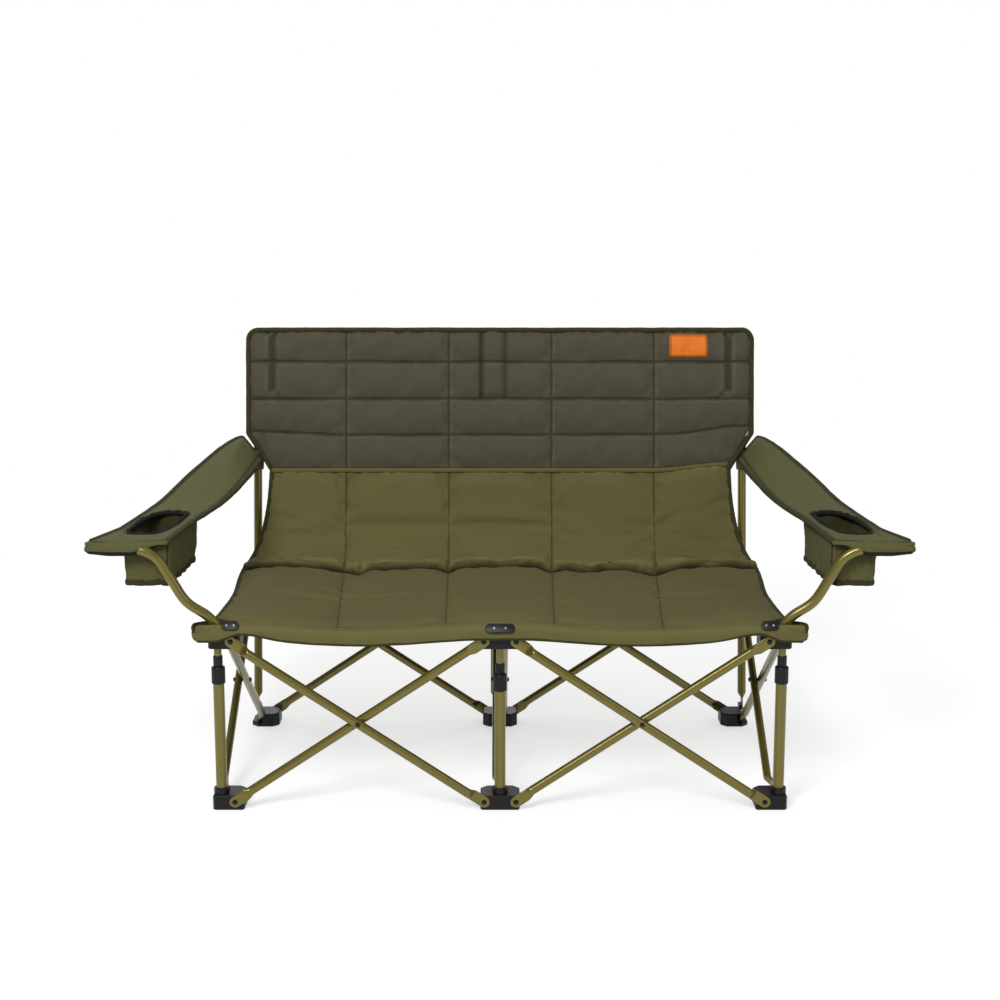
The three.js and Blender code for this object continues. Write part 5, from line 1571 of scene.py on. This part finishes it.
# a bar along X with an eye at each of the given places
def pressedBar(name, stations, eyes):
    made = ringStack(name, [sectionRing(*station) for station in stations], looks["paint"])
    for along in eyes:
        bpy.ops.mesh.primitive_cylinder_add(vertices=20, radius=tube["eye"], depth=0.06, location=(along, 0, 0))
        bit = bpy.context.object
        hole = made.modifiers.new("hole", "BOOLEAN")
        hole.operation = "DIFFERENCE"
        hole.object = bit
        bpy.context.view_layer.update()
        graph = bpy.context.evaluated_depsgraph_get()
        mesh = bpy.data.meshes.new_from_object(made.evaluated_get(graph), depsgraph=graph)
        made.modifiers.clear()
        made.data = mesh
        bpy.data.objects.remove(bit)
    shadeByAngle(made)
    return made


# lays a copy of a finished bar from a start point along a direction, its pressed ends facing a side
def layForm(form, node, body, start, along, side):
    turn = Matrix((along, side.cross(along), side)).transposed().to_4x4()
    mesh = form.data.copy()
    mesh.transform(Matrix.Translation(start) @ turn)
    standFor(addObject(node + "_skin", mesh), node, body)


braceForm = pressedBar("braceForm", pressedRings(tube["radius"], tube["offset"], tube["length"], tube["wide"]),
                       (0, tube["length"] / 2, tube["length"]))
pivotLow, pivotHigh = tube["low"], tube["low"] + tube["rise"]
braces = {"inner": 0.0315, "outer": 0.5235, "rows": {"front": -0.0218, "rear": 0.5718}, "frontPin": 0.029,
          "rearPin": 0.521, "sides": {"left": -0.549, "centre": 0.0, "right": 0.549}}


def layBrace(pair, kind, start, end, facing):
    start, end = list(start), list(end)
    start.append(pivotHigh if kind == "falling" else pivotLow)
    end.append(pivotLow if kind == "falling" else pivotHigh)
    first, last = place(*start), place(*end)
    layForm(braceForm, f"{pair}_brace_{kind}", f"{pair}_{kind}_arm", first, (last - first).normalized(),
            Vector(facing))


for row, y in braces["rows"].items():
    for side in sides:
        low, high = braces["inner"], braces["outer"]
        if side == "left":
            low, high = -high, -low
        layBrace(f"{row}_{side}", "falling", (low, y), (high, y), (0, -1, 0))
        layBrace(f"{row}_{side}", "rising", (low, y), (high, y), (0, 1, 0))
for side, x in braces["sides"].items():
    ends = (x, braces["frontPin"]), (x, braces["rearPin"])
    layBrace(f"{side}_side", "rising", *ends, (-1, 0, 0))
    layBrace(f"{side}_side", "falling", *ends, (1, 0, 0))
bpy.data.objects.remove(braceForm)

# rear posts: pressed flat at the pin, chamfered at the top
post = chair["postRadius"]
postStations = pressedRings(post, 0.0, 0.0, post)
postStations += [(along, radius, radius, 0.0) for along, radius in (
    (0.3, post), (0.6, post), (0.8615, post), (0.8645, 0.0086), (0.866, 0.0066))]
postForm = pressedBar("postForm", postStations, (0,))
for side, x in postXs.items():
    layForm(postForm, f"rear_{side}_post", f"rear_{side}_upright", backPoint(x, 0.0, 0.0), backUp, -sideways)
bpy.data.objects.remove(postForm)


# a turned ring about an upright axis; each profile point has a radius, a height and whether it is ribbed
def lathe(name, profile, x, look, rib=0.0, count=48):
    rings = []
    for r, z, ribbed in profile:
        ring = []
        for k, turn in enumerate(turnsRound(count)):
            radius = r + (rib if ribbed and k % 2 else 0.0)
            ring.append(place(x + radius * math.cos(turn), radius * math.sin(turn), z))
        rings.append(ring)
    made = ringStack(name, rings, look, looped=True)
    shadeByAngle(made)
    return made


# front legs and the moulded sleeves on their tops
legX = {"left": -chair["legX"], "centre": 0.0, "right": chair["legX"]}
leg = {"bottom": 0.0093, "outer": 0.011, "inner": 0.009, "corner": 0.276, "centre": 0.261, "round": 0.0004}
sleeve = {"grip": 0.0135, "gripHeight": 0.034, "neck": 0.0093, "neckHeight": 0.022, "groove": 0.0016,
          "bore": 0.0113, "rodBore": 0.0078, "seat": 0.004, "rib": -0.0003}
for side, x in legX.items():
    low = leg["bottom"]
    high = low + (leg["centre"] if side == "centre" else leg["corner"])
    inner, outer, soft = leg["inner"], leg["outer"], leg["round"]
    body = "frame_base" if side == "centre" else f"front_{side}_leg_foot"
    skin = lathe(f"front_{side}_leg_skin", [
        (inner, low, 0), (outer - soft, low, 0), (outer, low + soft, 0), (outer, high - soft, 0),
        (outer - soft, high, 0), (inner, high, 0)], x, looks["paint"])
    standFor(skin, f"front_{side}_leg", body)
    seat = high + 0.0003
    base = seat - (sleeve["gripHeight"] - sleeve["seat"])
    shoulder = base + sleeve["gripHeight"]
    top = shoulder + sleeve["neckHeight"]
    grip, neck, groove = sleeve["grip"], sleeve["neck"], sleeve["neck"] - sleeve["groove"] / 2
    cap = lathe(f"front_{side}_sleeve_skin", [
        (sleeve["bore"], base, 0), (grip - 0.001, base, 0), (grip - 0.0003, base + 0.0006, 0),
        (grip, base + 0.002, 0), (grip, base + 0.004, 1), (grip, shoulder - 0.006, 1), (grip, shoulder - 0.003, 0),
        (grip - 0.0004, shoulder - 0.0012, 0), (grip - 0.0014, shoulder - 0.0002, 0),
        (groove + 0.0006, shoulder, 0), (groove, shoulder + 0.0006, 0), (groove, shoulder + 0.0014, 0),
        (neck - 0.0003, shoulder + 0.0018, 0), (neck, shoulder + 0.0024, 0), (neck, top - 0.0012, 0),
        (neck - 0.0005, top, 0), (sleeve["rodBore"], top, 0), (sleeve["rodBore"], seat, 0),
        (sleeve["bore"], seat, 0)], x, looks["plastic"], rib=sleeve["rib"])
    standFor(cap, f"front_{side}_sleeve", body)


def rodRings(x, stations, count=32):
    return [[place(x + radius * math.cos(turn), radius * math.sin(turn), z) for turn in turnsRound(count)]
            for z, radius in stations]


# sliding rod in the centre leg, with the same foot as the arm tubes' rods
rodFoot = [(0.016, 0.0069), (0.0166, 0.0075)]
centreRod = ringStack("front_centre_rod_skin", rodRings(0.0, rodFoot + [(0.3634, 0.0075), (0.364, 0.0069)]),
                      looks["paint"])
shadeByAngle(centreRod)
standFor(centreRod, "front_centre_rod", "front_centre_hub_rod")


# point on a curve through points, its speed evened out by the distances between them
def evenCurve(points, k, f):
    p = [points[clamp(k + d, 0, len(points) - 1)] for d in (-1, 0, 1, 2)]
    if k == 0:
        p[0] = p[1] * 2 - p[2]
    if k == len(points) - 2:
        p[3] = p[2] * 2 - p[1]
    t = [0.0]
    for a, b in zip(p, p[1:]):
        t.append(t[-1] + max((b - a).length, 1e-6) ** 0.5)
    at = lerp(t[1], t[2], f)
    first = [p[m] + (p[m + 1] - p[m]) * ((at - t[m]) / (t[m + 1] - t[m])) for m in range(3)]
    second = [first[m] + (first[m + 1] - first[m]) * ((at - t[m]) / (t[m + 2] - t[m])) for m in range(2)]
    return second[0] + (second[1] - second[0]) * ((at - t[1]) / (t[2] - t[1]))


# arm tubes: a reduced rod in the leg, the tube through the hub, then the bend under the armrest
armBend = {
    "radius": 0.0098, "sleeved": 0.009, "sides": 28, "steps": 7, "reach": 0.138,
    "elbows": [(0.0, 0.002), (0.003, 0.009), (0.018, 0.026), (0.057, 0.055), (0.088, 0.106), (0.112, 0.143),
               (0.138, 0.158)],
    "level": (0.154, 0.174, 0.215, 0.235), "rod": rodFoot + [(0.3289, 0.0075), (0.3291, 0.009), (0.3655, 0.009)],
}
for side, hand in sides.items():
    bends = []
    for reach, rise in armBend["elbows"]:
        setback = -chair["armTubeBackset"] * min(reach / armBend["reach"], 1)
        bends.append(Vector((chair["legX"] + reach, setback, chair["hubTop"] + rise)))
    for reach in armBend["level"]:
        bends.append(Vector((chair["legX"] + reach, -chair["armTubeBackset"], chair["armTubeHeight"])))
    path = [evenCurve(bends, k, step / armBend["steps"])
            for k in range(len(bends) - 1) for step in range(armBend["steps"])] + [bends[-1]]
    count = armBend["sides"]
    rings = rodRings(hand * chair["legX"], armBend["rod"], count)
    across = Vector((0, 1, 0))
    for k, spot in enumerate(path):
        way = (path[min(k + 1, len(path) - 1)] - path[max(k - 1, 0)]).normalized()
        level = (across - way * across.dot(way)).normalized()
        upright = level.cross(way)
        bare = smooth(k, 0, 4) * (1 - smooth(k, len(path) - 26, len(path) - 20))
        radius = lerp(armBend["sleeved"], armBend["radius"], bare)
        ring = []
        for turn in turnsRound(count):
            out = spot - upright * (radius * math.cos(turn)) + level * (radius * math.sin(turn))
            ring.append(place(hand * out.x, out.y, out.z))
        if hand < 0:
            ring = [ring[(count // 2 - m) % count] for m in range(count)]
        rings.append(ring)
    armTube = ringStack(f"{side}_arm_tube_skin", rings, looks["paint"])
    shadeByAngle(armTube)
    standFor(armTube, f"{side}_arm_tube", f"front_{side}_hub_arm")
print("tubes laid")

# tilted plates on the front band, each with two domed rivets
plate = {"height": 0.019, "thick": 0.0035, "edge": 0.0009, "tilt": math.radians(35), "points": 40,
         "rivet": (0.0028, 0.0015), "raised": 0.005, "backset": 0.002}
plateSizes = {"left": (0.034, 0.014), "centre": (0.058, 0.022), "right": (0.034, 0.014)}
plateOut = Vector((0, -math.cos(plate["tilt"]), math.sin(plate["tilt"])))
plateUp = Vector((0, math.sin(plate["tilt"]), math.cos(plate["tilt"])))
radius, thick, edge = plate["height"] / 2, plate["thick"], plate["edge"]
for side, (width, spacing) in plateSizes.items():
    low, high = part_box(f"front_{side}_plate")
    # the lowest point of the tilted plate fixes where its back face lies
    corner = side != "centre"
    middle = Vector(((low.x + high.x) / 2, high.y - radius * plateUp.y + (plate["backset"] if corner else 0.0),
                     low.z + radius * plateUp.z + (plate["raised"] if corner else 0.0)))
    rings = []
    for inset, lift in ((0.0004, 0.0), (0.0, 0.0004), (0.0, thick - edge), (edge * 0.3, thick - edge * 0.3),
                        (edge, thick)):
        ring = []
        for turn in turnsRound(plate["points"], 0.5):
            x = math.copysign(width / 2 - radius, math.cos(turn)) + (radius - inset) * math.cos(turn)
            ring.append(middle + Vector((x, 0, 0)) + plateUp * (radius - inset) * math.sin(turn) + plateOut * lift)
        rings.append(ring)
    skin = ringStack(f"front_{side}_plate_skin", rings, looks["plastic"])
    shadeByAngle(skin, 40)
    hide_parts(f"front_{side}_plate")
    spots = [middle + Vector((x, 0, 0)) + plateOut * (thick - 0.0002) for x in (-spacing / 2, spacing / 2)]
    heads = domes(f"front_{side}_plate_rivets", spots, [plateOut, plateOut], *plate["rivet"], "brightRivet")
    for piece in (skin, heads):
        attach(piece, f"front_{side}_hub_arm" if corner else "front_centre_hub_rod")
button = domes("centre_sleeve_button", [place(0.0085, -0.0105, 0.2748)], [Vector((0.62, -0.78, 0))],
               0.0022, 0.0021, "plastic")
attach(button, "frame_base")
print("plates set")

# ears: the band's ends wrapped round the foot of each arm tube
ear = {"path": [(0.5935, -0.0335), (0.5975, -0.022), (0.598, -0.008), (0.594, 0.004), (0.587, 0.014), (0.579, 0.023),
                (0.573, 0.029)],
       "low": 0.3475, "high": (0.3665, 0.3725, 0.3755, 0.375, 0.374, 0.373, 0.372), "thick": 0.0022,
       "steps": (30, 12), "hem": (0.0026, 0.0024)}


def earPoint(hand, i, j, layer):
    share, up = i / ear["steps"][0], j / ear["steps"][1]
    spot, way = curveAt(ear["path"], share), tangentAt(ear["path"], share)
    top = curveAt([(0, height) for height in ear["high"]], share).y
    out = Vector((way.y, -way.x))
    if out.x < 0 and share < 0.7:
        out = out * -1
    crumple = 0.0018 * ripple(share * 5, up * 2.4, hand * 3) * math.sin(math.pi * up)
    under = 0.006 * (1 - smooth(up, 0.0, 0.35)) ** 2
    spot = spot + out * (crumple - under - (ear["thick"] if layer else 0.0))
    return place(hand * spot.x, spot.y, lerp(ear["low"], top, up))


for side, hand in sides.items():
    nx, ny = ear["steps"]
    # the ears take the lighter band cloth: painted light, as on the band
    flap = padPanel(f"{side}_corner_ear", nx, ny, lambda i, j, layer: earPoint(hand, i, j, layer),
                    lambda i, j: (i * 0.0022, j * 0.0024), lambda i, j: 0.5 if j >= ny - 1 else 0.0,
                    looks["bandLitCloth"])
    tidyNormals(flap)
    rolled = [(earPoint(hand, i, ny, 0) * 0.5 + earPoint(hand, i, ny, 1) * 0.5, Vector((hand, 0, 0)),
               upwards) for i in range(nx + 1)]
    for piece in (flap, sweep(f"{side}_ear_hem", rolled, ovalProfile(*ear["hem"]), looks["binding"])):
        gatherAcross(piece, "seat_front_panel")
